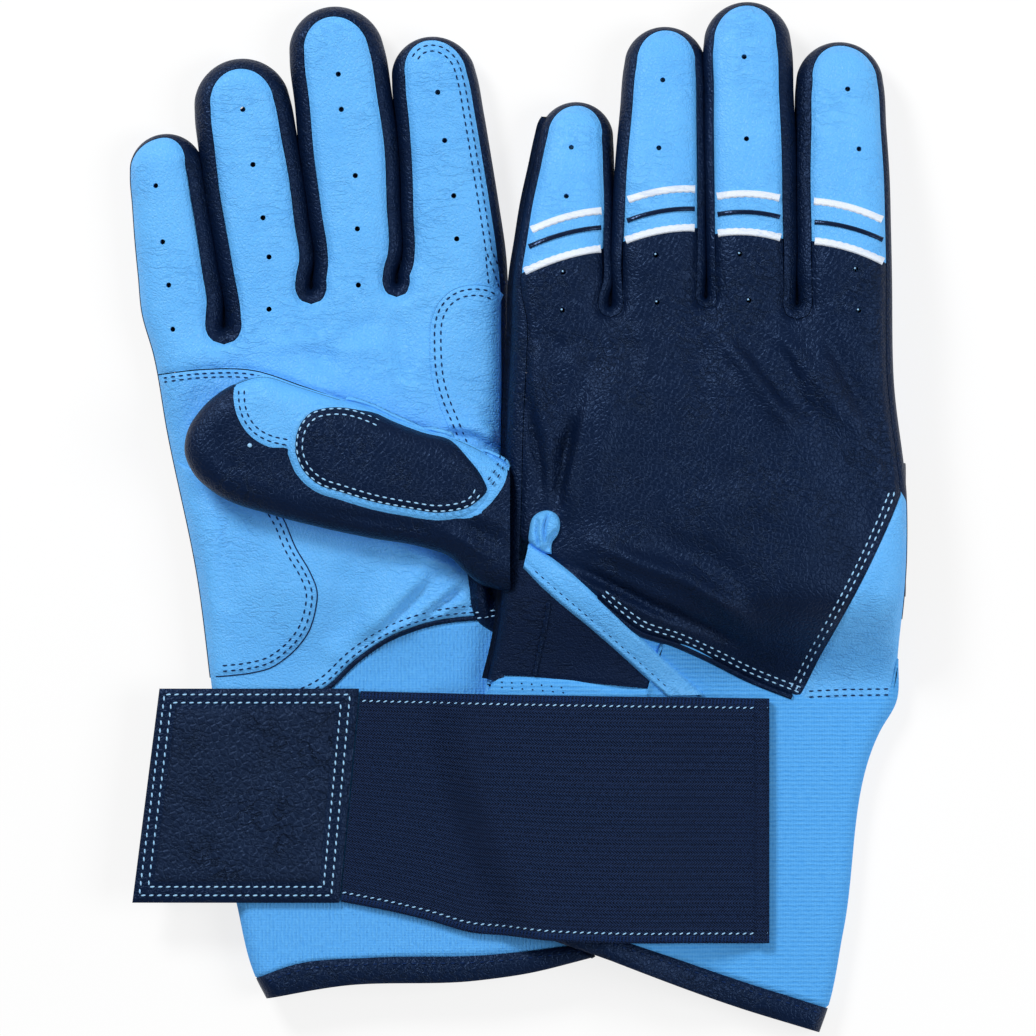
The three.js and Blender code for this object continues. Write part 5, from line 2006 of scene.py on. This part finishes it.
    def build_cuff(self) -> None:
        """Makes the knitted cuff and its hem."""
        glove = self.glove
        tops = {self.palm: PALM_WRIST, self.back: CUFF_TOP}
        sleeve = glove.tube("cuff_knit", tops, glove.hem_top, 76, (3.0, 1.5), 0.0)
        knit = Finish.SKY_KNIT if self.back is Side.LOWER else Finish.SKY_CROSS_KNIT
        self.dresser.dress(sleeve, knit, self.hand, f"{self.name}_cuff_sleeve")
        how = {"pitch": 2.6, "wide": 0.5}
        for pixels in PIN_ROWS:
            line = curve(self.drawn(self.back, pixels))
            self.rows(Finish.NAVY_THREAD, self.back, line, (0.0,), -0.05, long=0.5, **how)
        tops = {side: [(share, y + 0.25) for share, y in glove.hem_top] for side in Side}
        hem = glove.tube("hem_binding", tops, glove.hem_end, 12, (0.0, 0.0), 0.9)
        self.dresser.dress(hem, Finish.NAVY_LEATHER, self.hand, f"{self.name}_cuff_hem")
        shares = np.linspace(0.025, 0.975, 80)
        line = glove.outline.at_share(shares, seam_heights(glove.hem_top, shares) - 1.5)
        for side in Side:
            self.rows(Finish.NAVY_THREAD, side, line, (0.0,), 0.8, **how)


# The thumb's padded patch: the trim that shows round it, how far it stands off the skin, and its crown
PATCH_TRIM = 1.7
PATCH_PROUD = 1.1
PATCH_CROWN = 1.3
CROWN_ROUND = 6.0
THUMB_ROUND = 7.5


@dataclass
class Thumb:
    """A thumb folded flat on the palm: its outline, from the photograph of the right glove."""

    name: str
    shift: float
    base: float
    outline_pixels: tuple = (
        (510, 468), (480, 450), (453, 438), (429, 431), (398, 420), (372, 408), (339, 399), (300, 387),
        (263, 377), (236, 385), (204, 409), (189, 434), (187, 453), (196, 474), (218, 494), (274, 515),
        (316, 526), (372, 538), (423, 547), (451, 557), (466, 572), (478, 582), (510, 592),
    )
    overlay_pixels: tuple = (
        (235, 385.5), (263, 376.5), (300, 386.5), (339, 398.5), (372, 407.5), (398, 419.5), (429, 430.5),
        (453, 437.5), (480, 449.5), (509, 468), (508, 478), (498, 497), (474, 518), (440, 517), (400, 500),
        (340, 480), (300, 462), (290, 451), (271, 449), (252, 438), (239, 419), (234.5, 398),
    )
    stitch_pixels: tuple = ((241, 390), (242, 408), (247, 422), (257, 434), (272, 442), (290, 446))
    root_stitches: tuple = (
        ((506, 456), (504, 466), (497, 479), (491, 487)), ((501, 453), (499, 463), (492, 476), (487, 482)),
    )
    patch_pixels: tuple = (
        (289, 455), (290, 435), (297, 418), (309, 406), (328, 400.5), (352, 401), (372, 407), (398, 419),
        (425, 429), (453, 437), (471, 455), (486, 475), (492, 490), (480, 510), (443, 521), (408, 517),
        (372, 510), (342, 501), (316, 492), (297, 474),
    )
    patch_fold: tuple = ((385, 413), (398, 419), (425, 429), (453, 438), (472, 450), (488, 474), (491, 483))

    def __post_init__(self) -> None:
        """Draws the outline."""
        self.edge = curve(self.placed(self.outline_pixels), 0.8)
        self.loop = np.vstack((self.edge, spread(np.vstack((self.edge[-1], self.edge[0])), 0.9)[1:-1]))

    def placed(self, pixels: Iterable[Sequence[float]]) -> Array:
        """Returns drawn places on this thumb."""
        return from_photo(pixels) + (self.shift, 0.0)

    def drawn_loop(self, pixels: Sequence[Sequence[float]]) -> Array:
        """Returns a smooth closed outline through drawn places on this thumb."""
        return curve(closed(self.placed(pixels)))[:-1]

    def height(self, places: Array, side: Side, proud: float = 0.0) -> Array:
        """Returns the height of the thumb's skin on one side."""
        depth = to_line(places, self.edge)
        half = THUMB_THICK / 2
        if side is Side.UPPER:
            waves = 0.28 * ripple(places, 11.0, 2.3) + 0.12 * ripple(places, 4.0, 8.1)
            waves = waves + sum(fold.rise(places - (self.shift, 0.0)) for fold in THUMB_FOLDS)
            soft = eased(depth, 1.0, 6.0)
            proud = proud + soft * waves
        return self.base + half + side.value * (half * fullness(depth, THUMB_ROUND) + proud)

    def half(self, name: str, side: Side) -> bpy.types.Object:
        """Makes the leather on one side of the thumb."""
        places, triangles = filled(self.loop, [])
        return laid_skin(f"{self.name}_{name}", places, triangles, self.height(places, side), side, LEATHER)

    def cover(self, name: str, loop: Array, proud: float, crown: float, thick: float) -> bpy.types.Object:
        """Makes a leather piece sewn on the thumb's upper side.

        Args:
            name: The piece's name.
            loop: Its outline.
            proud: How far it stands off the skin.
            crown: How far its middle swells.
            thick: Its thickness.

        Returns:
            The new object.
        """
        places, triangles = filled(loop, [])
        away = to_line(places, closed(loop))
        z = self.height(places, Side.UPPER, proud) - dent(away, proud + 0.1, 0.8)
        z = z + crown * fullness(away, CROWN_ROUND)
        return laid_skin(f"{self.name}_{name}", places, triangles, z, Side.UPPER, thick)

    def build(self, dresser: Dresser, sewing: Sewing, patched: bool) -> None:
        """Makes the thumb's skins and, on the thumb that shows, its overlay and its padded patch."""
        glove = self.name.split("_", maxsplit=1)[0]
        upper, lower = ("back", "palm") if patched else ("palm", "back")
        finishes = {"back": Finish.NAVY_LEATHER, "palm": Finish.SKY_LEATHER}
        for side, kind in ((Side.UPPER, upper), (Side.LOWER, lower)):
            skin = self.half(kind, side)
            dresser.dress(skin, finishes[kind], self.name, f"{glove}_thumb_{kind}_face")
        if not patched:
            return
        overlay = self.cover("overlay", self.drawn_loop(self.overlay_pixels), 0.35, 0.0, 0.8)
        dresser.dress(overlay, Finish.SKY_LEATHER, self.name)
        row = curve(self.placed(self.stitch_pixels))
        for offset in (0.0, 1.5):
            sewing.row(self.name, Finish.NAVY_THREAD, beside(row, -offset), self.covered(0.35))
        eyelet = self.placed(((252, 446),))[0]
        sewing.dot(self.name, Finish.SKY_THREAD, eyelet, self.covered(-0.1), Side.UPPER, 1.3)
        for pixels in self.root_stitches:
            sewing.row(self.name, Finish.NAVY_THREAD, curve(self.placed(pixels)), self.covered(0.9))
        self.build_patch(dresser, sewing)

    def build_patch(self, dresser: Dresser, sewing: Sewing) -> None:
        """Makes the padded patch, its trim and its two rows of stitches."""
        trim = self.drawn_loop(self.patch_pixels)
        dresser.dress(self.cover("patch_trim", trim, 0.9, 0.0, 1.0), Finish.SKY_LEATHER, self.name)
        way = 1.0 if signed_area(trim) < 0 else -1.0
        folded = curve(self.placed(self.patch_fold))
        reach = eased(to_line(closed(trim), folded), 1.0, 9.0)
        pad_edge = spread(beside(closed(trim), way * mixed(0.7, PATCH_TRIM, reach)), 0.8)[:-1]
        pad = self.cover("patch_pad", pad_edge, PATCH_PROUD, PATCH_CROWN, 1.2)
        dresser.dress(pad, Finish.NAVY_LEATHER, self.name, "right_thumb_patch")
        first, last = (int(np.argmin(np.linalg.norm(trim - end, axis=1))) for end in (folded[-1], folded[0]))
        shown = np.vstack((trim[first:], trim[: last + 1]))
        for inset in (0.9, 2.4):
            line = spread(beside(shown, way * (PATCH_TRIM + inset)), 0.8)
            swell = PATCH_CROWN * float(fullness(np.array(inset), CROWN_ROUND))
            sewing.row(self.name, Finish.SKY_THREAD, line, self.covered(PATCH_PROUD, swell))

    def covered(self, proud: float, swell: float = 0.0) -> Height:
        """Returns the height of what stands proud of the upper skin, and swells further."""
        return lambda places: self.height(places, Side.UPPER, proud) + swell


def folds_of(*rows: tuple) -> tuple[Fold, ...]:
    """Returns folds from rows of a line in the photograph, a width and a height."""
    return tuple(Fold(tuple(map(tuple, from_photo(pixels))), width, height) for pixels, width, height in rows)


ROOT_FOLDS = folds_of(
    (((446, 529), (468, 537), (478, 558), (478, 590), (484, 628)), 1.5, 2.2),
    (((455, 545), (462, 562), (468, 590)), 1.0, -1.5),
    (((482, 524), (498, 548), (504, 580)), 1.3, 1.9),
    (((470, 522), (488, 545), (492, 575), (494, 620)), 1.1, -2.0),
    (((476, 520), (490, 530), (506, 545)), 0.9, 1.4),
)
THUMB_FOLDS = folds_of(
    (((300, 519), (360, 530), (420, 541), (462, 562)), 1.5, 0.9),
    (((290, 505), (350, 517), (420, 528), (455, 540)), 1.2, -0.7),
    (((440, 530), (470, 545), (500, 562)), 1.6, 0.9),
    (((455, 522), (480, 532), (505, 545)), 1.4, -0.9),
    (((470, 512), (490, 518), (508, 528)), 1.5, 0.8),
    (((215, 420), (225, 455), (250, 480)), 3.0, -0.5),
)
ROOT_EDGE = (
    (436, 536), (452, 552), (464, 566), (469, 588), (471, 606), (478, 622), (492, 632),
    (507, 641), (511, 612), (511, 540), (482, 516), (446, 518), (436, 536),
)
ROOT_ROWS = (((474, 612.5), (490, 610.5), (504, 609)), ((476, 618), (491, 616), (504, 614)))
ROOT_LIFT = 0.6


def build_thumb_root(maker: GloveMaker) -> None:
    """Makes the folded leather that joins the right thumb to the palm."""
    loop = curve(from_photo(ROOT_EDGE))[:-1]
    places, triangles = filled(loop, [])

    def level(spots: Array) -> Array:
        """Returns the height of the root's leather without its folds."""
        swell = 2.6 * fullness(to_line(spots, closed(loop)), 4.5)
        return maker.glove.surface.height(spots, Side.UPPER) - ROOT_LIFT + swell

    folds = sum(fold.rise(places) for fold in ROOT_FOLDS)
    z = level(places) + folds * eased(to_line(places, closed(loop)), 0.5, 3.0)
    root = laid_skin("right_thumb_root", places, triangles, z, Side.UPPER, 1.0)
    maker.dresser.dress(root, Finish.NAVY_LEATHER, maker.hand)
    for pixels in ROOT_ROWS:
        line = curve(from_photo(pixels))
        maker.sewing.row(maker.hand, Finish.SKY_THREAD, line, lambda spots: level(spots) + 0.1)


# The left thumb's root: the X of its inner edge, and its first and last Y
LEFT_ROOT_X = from_photo(((510, 517.5),))[0, 0] + LEFT_THUMB_SHIFT - 2.5
LEFT_ROOT_SPAN = (14.6, -21.3)


def build_left_root(maker: GloveMaker) -> None:
    """Makes the rolled leather that joins the left thumb's base to the hand's side."""
    y = np.linspace(*LEFT_ROOT_SPAN, 70)
    spine = np.column_stack((np.full(len(y), LEFT_ROOT_X), y))
    roof = maker.glove.surface.height(spine, Side.LOWER) + 2.6
    swell = fullness(np.minimum(y.max() - y, y - y.min()), 3.5)
    rows = []
    for turn in np.linspace(-math.pi / 2, math.pi / 2, 29):
        out = (2.8 * math.cos(turn) ** 0.7, 0.0)
        z = mixed(mixed(5.2, 0.3, swell), mixed(6.4, roof, swell), (1.0 + math.sin(turn)) / 2)
        rows.append(np.column_stack((spine + out, z)))
    root = grid_skin("left_thumb_root", np.stack(rows), 0.9, np.array([1.0, 0.0, 0.0]))
    maker.dresser.dress(root, Finish.NAVY_LEATHER, maker.hand)


# The tab's length and depth, and how far its rows of stitches lie from its top, right, bottom and left
TAB_LONG = 54.0
TAB_DEEP = 57.6
TAB_TOP = -46.0
TAB_ROWS = ((1.6, 2.3, 2.0, 1.6), (3.8, 4.5, 4.3, 3.7))
BAND_END = 67.4
BAND_WIDTH = 66.0
STRAP_GAP = 0.35


# The band's stations from its sewn end to the tab: X, and the Y of its upper and lower edge
BAND_STATIONS = (
    (BAND_END, -48.7, -114.6), (60, -48.6, -114.6), (46, -48.3, -114.4), (33, -48.1, -114.3),
    (20, -47.9, -114), (8, -47.7, -113.5), (-3, -47.5, -112.4), (-12.7, -47.3, -111.6),
    (-24, -47.1, -108.4), (-34, -46.9, -106), (-48.3, -46.5, -103.2),
)


@dataclass
class Strap:
    """The left glove's wrist strap: an elastic band and its leather tab."""

    left: Outline
    dresser: Dresser
    sewing: Sewing
    stations: tuple = BAND_STATIONS
    tab_right: tuple = ((-43.0, TAB_TOP), (-48.3, TAB_TOP - TAB_DEEP))
    tab_left: tuple = ((-96.7, TAB_TOP), (-104.0, TAB_TOP - TAB_DEEP))
    droop: float = 2.4

    def level(self, places: Array) -> Array:
        """Returns the lowest height at which the strap clears what it lies on."""
        over_right = RIGHT_CUFF_LIFT + CUFF_THICK + STRAP_GAP
        raised = LEFT_HAND_LIFT * (1.0 - eased(places[:, 0], 26.0, 64.0))
        over_left = CUFF_THICK + 0.7 + raised
        edge = self.left.left(places[:, 1])
        step = eased(places[:, 0] - edge, -16.0, -2.0)
        wave = 0.35 + 0.35 * ripple(places * (1.0, 0.35), 14.0, 6.2)
        return mixed(over_right, over_left, step) + wave * eased(places[:, 0], -44.0, -36.0)

    def band_top(self, places: Array) -> Array:
        """Returns the height of the band's upper face."""
        return self.level(places) + ELASTIC

    def edge_top(self, places: Array) -> Array:
        """Returns the height of the overlocked edges."""
        return self.band_top(places) - 0.22

    def rail(self, low: bool, inset: float) -> Array:
        """Returns a line along the band's upper or lower edge, from right to left."""
        stations = np.array(self.stations)
        at = stations[:, 2] + inset if low else stations[:, 1] - inset
        end = self.tab_right[1][0] if low else self.tab_right[0][0]
        xs = np.linspace(BAND_END, end + 0.4, 160)
        course = curve(np.column_stack((stations[:, 0], at)), 0.5)[::-1]
        return spread(np.column_stack((xs, np.interp(xs, course[:, 0], course[:, 1]))), 0.8)

    def build_band(self) -> None:
        """Makes the elastic band, its overlocked edges and its folded end."""
        rails = [resampled(rail, 150) for rail in (self.rail(False, 0.0), self.rail(True, 0.0))]
        rows = []
        for share in np.linspace(0.0, 1.0, 72):
            places = mixed(rails[0], rails[1], share)
            edge = min(share, 1.0 - share) * BAND_WIDTH
            dip = dent(edge, 0.35, 0.7) + dent(edge - 3.0, 0.25, 0.8)
            rows.append(np.column_stack((places, self.band_top(places) - dip)))
        band = grid_skin("left_strap_elastic", np.stack(rows), ELASTIC, UP)
        self.dresser.dress(band, Finish.NAVY_ELASTIC, "left_strap", "left_strap_band")
        bound = {"pitch": 0.95, "long": 2.1, "wide": 0.6, "slant": 82.0}
        sewn = {"pitch": 1.9, "long": 1.2, "wide": 0.4, "slant": 24.0}
        for is_low in (False, True):
            for inset, thread, level, how in (
                (1.2, Finish.NAVY_THREAD, self.edge_top, bound),
                (2.6, Finish.SKY_THREAD, self.band_top, sewn),
            ):
                self.sewing.row("left_strap", thread, self.rail(is_low, inset), level, **how)
        ends = np.array([(BAND_END - 2.1, -48.9), (BAND_END - 2.1, -114.4)])
        fold = ribbon("left_strap_end_fold", spread(ends, 0.8), (2.3, 1.9), self.band_top, 0.5)
        self.dresser.dress(fold, Finish.NAVY_ELASTIC, "left_strap")

    def tab_place(self, across: Array, down: Array) -> Array:
        """Returns places on the tab at shares from right to left and from top to bottom."""
        right = mixed(np.array(self.tab_right[0]), np.array(self.tab_right[1]), down[..., None])
        left = mixed(np.array(self.tab_left[0]), np.array(self.tab_left[1]), down[..., None])
        return mixed(right, left, across[..., None])

    def tab_top(self, places: Array) -> Array:
        """Returns the height of the tab's upper face."""
        down = (TAB_TOP - places[:, 1]) / TAB_DEEP
        right = mixed(self.tab_right[0][0], self.tab_right[1][0], down)
        left = mixed(self.tab_left[0][0], self.tab_left[1][0], down)
        across = (right - places[:, 0]) / (right - left)
        from_side = np.minimum(across, 1.0 - across) * TAB_LONG
        from_edge = np.minimum(from_side, np.minimum(down, 1.0 - down) * TAB_DEEP)
        rest = RIGHT_CUFF_LIFT + CUFF_THICK + STRAP_GAP
        z = rest - self.droop * np.maximum(across - 0.4, 0.0) ** 2 + TAB_THICK
        z = z - dent(np.maximum(from_edge, 0.0), 0.8, 0.8) + 0.3 * eased(from_edge, 4.0, 9.0)
        for inset in (1.8, 4.1):
            z = z - dent(from_edge - inset, 0.28, 0.7)
        return z + 0.1 * ripple(places, 5.0, 9.4) * eased(from_edge, 3.0, 6.0)

    def build_tab(self) -> None:
        """Makes the leather tab with its double border of stitches and its hook pad."""
        whole = np.linspace(0.0, 1.0, 78)
        tab = self.tab_sheet("tab_leather", whole, whole, TAB_THICK - 0.6)
        self.dresser.dress(tab, Finish.NAVY_LEATHER, "left_strap_end", "left_strap_tab")
        for top, right, bottom, left in TAB_ROWS:
            a, b = right / TAB_LONG, 1.0 - left / TAB_LONG
            c, d = top / TAB_DEEP, 1.0 - bottom / TAB_DEEP
            corners = np.array([(a, c), (b, c), (b, d), (a, d), (a, c)])
            for ends in zip(corners[:-1], corners[1:]):
                line = self.tab_place(*np.transpose(ends))
                self.sewing.row("left_strap_end", Finish.SKY_THREAD, line, self.tab_top, slant=8.0, wide=0.5)
        across, down = np.linspace(0.1, 0.915, 90), np.linspace(0.085, 0.91, 90)
        inlay = self.tab_sheet("tab_inlay", across, down, 0.6, 0.3, 0.5)
        self.dresser.dress(inlay, Finish.TAB_LEATHER, "left_strap_end")
        middle = np.linspace(0.12, 0.88, 60)
        pad = self.tab_sheet("hook_pad", middle, middle, 0.75, 0.5 - TAB_THICK)
        self.dresser.dress(pad, Finish.HOOK_PAD, "left_strap_end")

    def tab_sheet(
        self, name: str, across: Array, down: Array, thick: float, proud: float = 0.0, roll: float = 0.0
    ) -> bpy.types.Object:
        """Makes a sheet that follows the tab's upper face.

        Args:
            name: The piece's name, without the strap's.
            across: Its columns, as shares of the tab from right to left.
            down: Its rows, as shares from top to bottom.
            thick: Its thickness.
            proud: How far it stands off the tab's upper face.
            roll: How far its edge is rolled under.

        Returns:
            The new object.
        """
        x, y = np.meshgrid(across, down)
        places = self.tab_place(x, y)
        z = self.tab_top(places.reshape(-1, 2)).reshape(x.shape) + proud
        from_side = np.minimum(x - across[0], across[-1] - x)
        edge = np.minimum(from_side, np.minimum(y - down[0], down[-1] - y)) * 56.0
        grid = np.concatenate((places, (z - dent(edge, roll, 0.7))[..., None]), axis=-1)
        return grid_skin(f"left_strap_{name}", grid, thick, UP)

    def build(self) -> None:
        """Makes the strap."""
        self.build_band()
        self.build_tab()


@dataclass
class FoldedStrap:
    """The right glove's own strap, folded double under its cuff."""

    dresser: Dresser
    root: float = -9.0
    fold: float = -95.5
    tab: tuple = (-66.4, -9.4)
    top: float = -51.0
    bottom: float = -103.0

    def strip(self, name: str, start: float, end: float, base: float, thick: float) -> bpy.types.Object:
        """Makes a level strip between two X places."""
        xs = np.linspace(start, end, 60)
        ys = np.linspace(self.top, self.bottom, 46)
        x, y = np.meshgrid(xs, ys)
        edge = np.minimum(np.abs(y - self.top), np.abs(y - self.bottom))
        soft = np.minimum(edge, np.minimum(np.abs(x - start), np.abs(x - end)))
        z = base + thick - dent(soft, 0.3, 0.7) - dent(edge - 3.0, 0.2, 0.8)
        return grid_skin(name, np.stack((x, y, z), axis=-1), thick - 0.3, UP)

    def build(self) -> None:
        """Makes the strap's two lengths of elastic and its tab."""
        inner = self.strip("right_strap_inner", self.root, self.fold, 2.55, ELASTIC)
        self.dresser.dress(inner, Finish.NAVY_ELASTIC, "right_strap", "right_strap_band_inner")
        outer = self.strip("right_strap_outer", self.fold, self.tab[0] - 0.35, 0.0, ELASTIC)
        self.dresser.dress(outer, Finish.NAVY_ELASTIC, "right_strap_end", "right_strap_band_outer")
        tab = self.strip("right_strap_tab_leather", *self.tab, 0.0, TAB_THICK)
        self.dresser.dress(tab, Finish.NAVY_LEATHER, "right_strap_end", "right_strap_tab")


# The camera's place over the photograph's middle, and the lamps: name, place, size and power
CAMERA_X = -0.27
CAMERA_Y = -0.135
LAMPS = (("key", (-0.7, 0.9, 1.0), 0.4, 16.0), ("fill", (0.9, -0.1, 1.0), 0.7, 8.5))


def build_camera() -> None:
    """Makes the camera that looks straight down on the pair."""
    data = bpy.data.cameras.new("camera")
    data.sensor_width = 36.0
    data.lens = 400.0
    data.clip_end = 20.0
    span = PHOTO_WIDTH * PIXEL * MM
    camera = bpy.data.objects.new("camera", data)
    camera.location = (CAMERA_X * MM, CAMERA_Y * MM, span * data.lens / data.sensor_width)
    bpy.context.scene.collection.objects.link(camera)
    bpy.context.scene.camera = camera


def build_light() -> None:
    """Makes the soft studio light and the pale table."""
    scene = bpy.context.scene
    scene.view_settings.view_transform = "Standard"
    world = bpy.data.worlds.new("studio")
    scene.world = world
    world.use_nodes = True
    sky = {"Color": (1.0, 1.0, 1.0, 1.0), "Strength": 0.29}
    Nodes(world.node_tree).fill(world.node_tree.nodes["Background"], sky)
    for name, place, size, power in LAMPS:
        data = bpy.data.lights.new(name, "AREA")
        data.size = size
        data.energy = power
        lamp = bpy.data.objects.new(name, data)
        lamp.location = place
        lamp.rotation_euler = (-Vector(place)).to_track_quat("-Z", "Y").to_euler()
        scene.collection.objects.link(lamp)
    bpy.ops.mesh.primitive_plane_add(size=6.0, location=(0.0, 0.0, -0.0004))
    table = bpy.context.object
    table.name = "table"
    material = bpy.data.materials.new("table")
    material.use_nodes = True
    nodes = Nodes(material.node_tree)
    nodes.tree.nodes.clear()
    plain = nodes.add("BsdfDiffuse", {"Color": (0.95, 0.95, 0.95, 1.0)})
    glow = nodes.add("Emission", {"Strength": 1.0})
    share = nodes.math("MULTIPLY", nodes.add("LightPath").outputs["Is Camera Ray"], 0.8)
    mix = nodes.add("MixShader", {0: share, 1: plain.outputs[0], 2: glow.outputs[0]})
    nodes.add("OutputMaterial", {"Surface": mix.outputs[0]})
    table.data.materials.append(material)


LEFT_BACK_FOLDS = folds_of(
    (((540, 335), (537, 392), (550, 445), (546, 489), (547, 512)), 1.9, 1.9),
    (((530, 400), (533, 436), (541, 471), (539, 507)), 1.1, -1.9),
    (((574, 410), (566, 449), (559, 489), (554, 520)), 1.4, -2.2),
    (((592, 380), (580, 436), (571, 480), (566, 530)), 2.4, 1.8),
    (((600, 335), (588, 370), (570, 436), (561, 470)), 2.4, -1.4),
    (((622, 335), (610, 400), (592, 470), (580, 520)), 3.0, 1.0),
    (((570, 542), (600, 545), (632, 560), (685, 579), (729, 608), (768, 642)), 2.6, 2.5),
    (((552, 556), (572, 566), (610, 584), (648, 603), (711, 630), (764, 654)), 1.5, -2.4),
    (((556, 566), (600, 590), (640, 610), (690, 634)), 1.0, 1.1),
    (((640, 535), (700, 555), (770, 600)), 4.0, -1.2),
    (((632, 322), (645, 348), (650, 380)), 2.6, 1.2),
    (((711, 317), (728, 348), (748, 368), (800, 440)), 2.6, 1.8),
    (((692, 330), (700, 370), (712, 430)), 2.6, -1.2),
    (((735, 335), (760, 372), (800, 420)), 2.2, -1.4),
    (((760, 317), (786, 348), (808, 370), (850, 440)), 2.6, 1.7),
    (((778, 335), (790, 380), (812, 430)), 2.0, -1.2),
    (((805, 330), (835, 385), (868, 450)), 2.8, 1.3),
    (((820, 332), (845, 380), (872, 430)), 2.0, -1.0),
    (((536, 330), (560, 350), (592, 340)), 2.2, -0.8),
    (((870, 430), (885, 460), (893, 490)), 2.5, -0.9),
    (((690, 520), (740, 500), (800, 500)), 5.0, 0.9),
)
RIGHT_PALM_FOLDS = folds_of(
    (((312, 312), (322, 345), (330, 378)), 2.4, -1.1),
    (((397, 306), (402, 345), (410, 390)), 2.4, -1.1),
    (((225, 350), (232, 362), (240, 368)), 2.2, -0.8),
    (((262, 350), (320, 340), (360, 318)), 2.2, 0.9),
    (((290, 335), (345, 352), (405, 350)), 2.6, 0.9),
    (((330, 320), (355, 330), (385, 318)), 1.8, -0.7),
    (((175, 350), (210, 358), (250, 352)), 2.4, 0.7),
    (((440, 560), (400, 600), (360, 650)), 4.0, 2.0),
    (((468, 572), (438, 600), (414, 620), (380, 640)), 1.6, 1.9),
    (((448, 562), (425, 588), (392, 622), (350, 655)), 1.4, -1.7),
    (((400, 548), (436, 560), (466, 572)), 1.3, 1.4),
    (((470, 596), (452, 607), (430, 620)), 1.2, 1.5),
    (((468, 584), (440, 604), (415, 622)), 0.9, -1.4),
    (((350, 555), (342, 600), (333, 655)), 4.0, -1.4),
    (((375, 560), (362, 600), (345, 640)), 2.0, -0.9),
    (((215, 520), (206, 580), (214, 640)), 3.0, 0.9),
    (((232, 500), (226, 560), (232, 620)), 3.0, -0.7),
    (((200, 400), (190, 440), (196, 500)), 3.0, 0.5),
    (((470, 330), (475, 370), (480, 410)), 3.0, -0.5),
    (((438, 424), (470, 428), (505, 446)), 1.4, 1.3),
    (((446, 434), (476, 438), (506, 460)), 1.1, -1.2),
    (((470, 412), (488, 430), (507, 440)), 1.2, 1.0),
)


# The thumbs' hinges: body, the hand it hangs on, X and Z; where they lie in Y, and how long each blends
THUMB_HINGES = (("right_thumb", "right_hand", -3.2, 27.35), ("left_thumb", "left_hand", 103.1, 0.0))
HINGE_Y = 0.7
THUMB_BLEND = 8.8


def main() -> None:
    """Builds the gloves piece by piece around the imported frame."""
    logging.basicConfig(level=logging.INFO, format="%(name)s: %(message)s")
    for name in ("Cube", "Light", "Camera"):
        if name in bpy.data.objects:
            bpy.data.objects.remove(bpy.data.objects[name])
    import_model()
    bpy.ops.object.select_all(action="DESELECT")
    build_camera()
    dresser = Dresser()
    sewing = Sewing(dresser)
    right, left = right_glove(), left_glove()
    for body, hand, start, height in THUMB_HINGES:
        ends = [(x * MM, HINGE_Y * MM, height * MM) for x in (start, start - THUMB_BLEND)]
        dresser.joints[body] = (hand, body, *ends)
    makers = [GloveMaker(glove, right, left, dresser, sewing) for glove in (right, left)]
    for maker in makers:
        maker.build()
    build_thumb_root(makers[0])
    build_left_root(makers[1])
    Thumb("right_thumb", 0.0, THUMB_BASE).build(dresser, sewing, True)
    Thumb("left_thumb", LEFT_THUMB_SHIFT, 0.0).build(dresser, sewing, False)
    Strap(left.outline, dresser, sewing).build()
    FoldedStrap(dresser).build()
    sewing.finish()
    build_light()


if __name__ == "__main__":
    main()
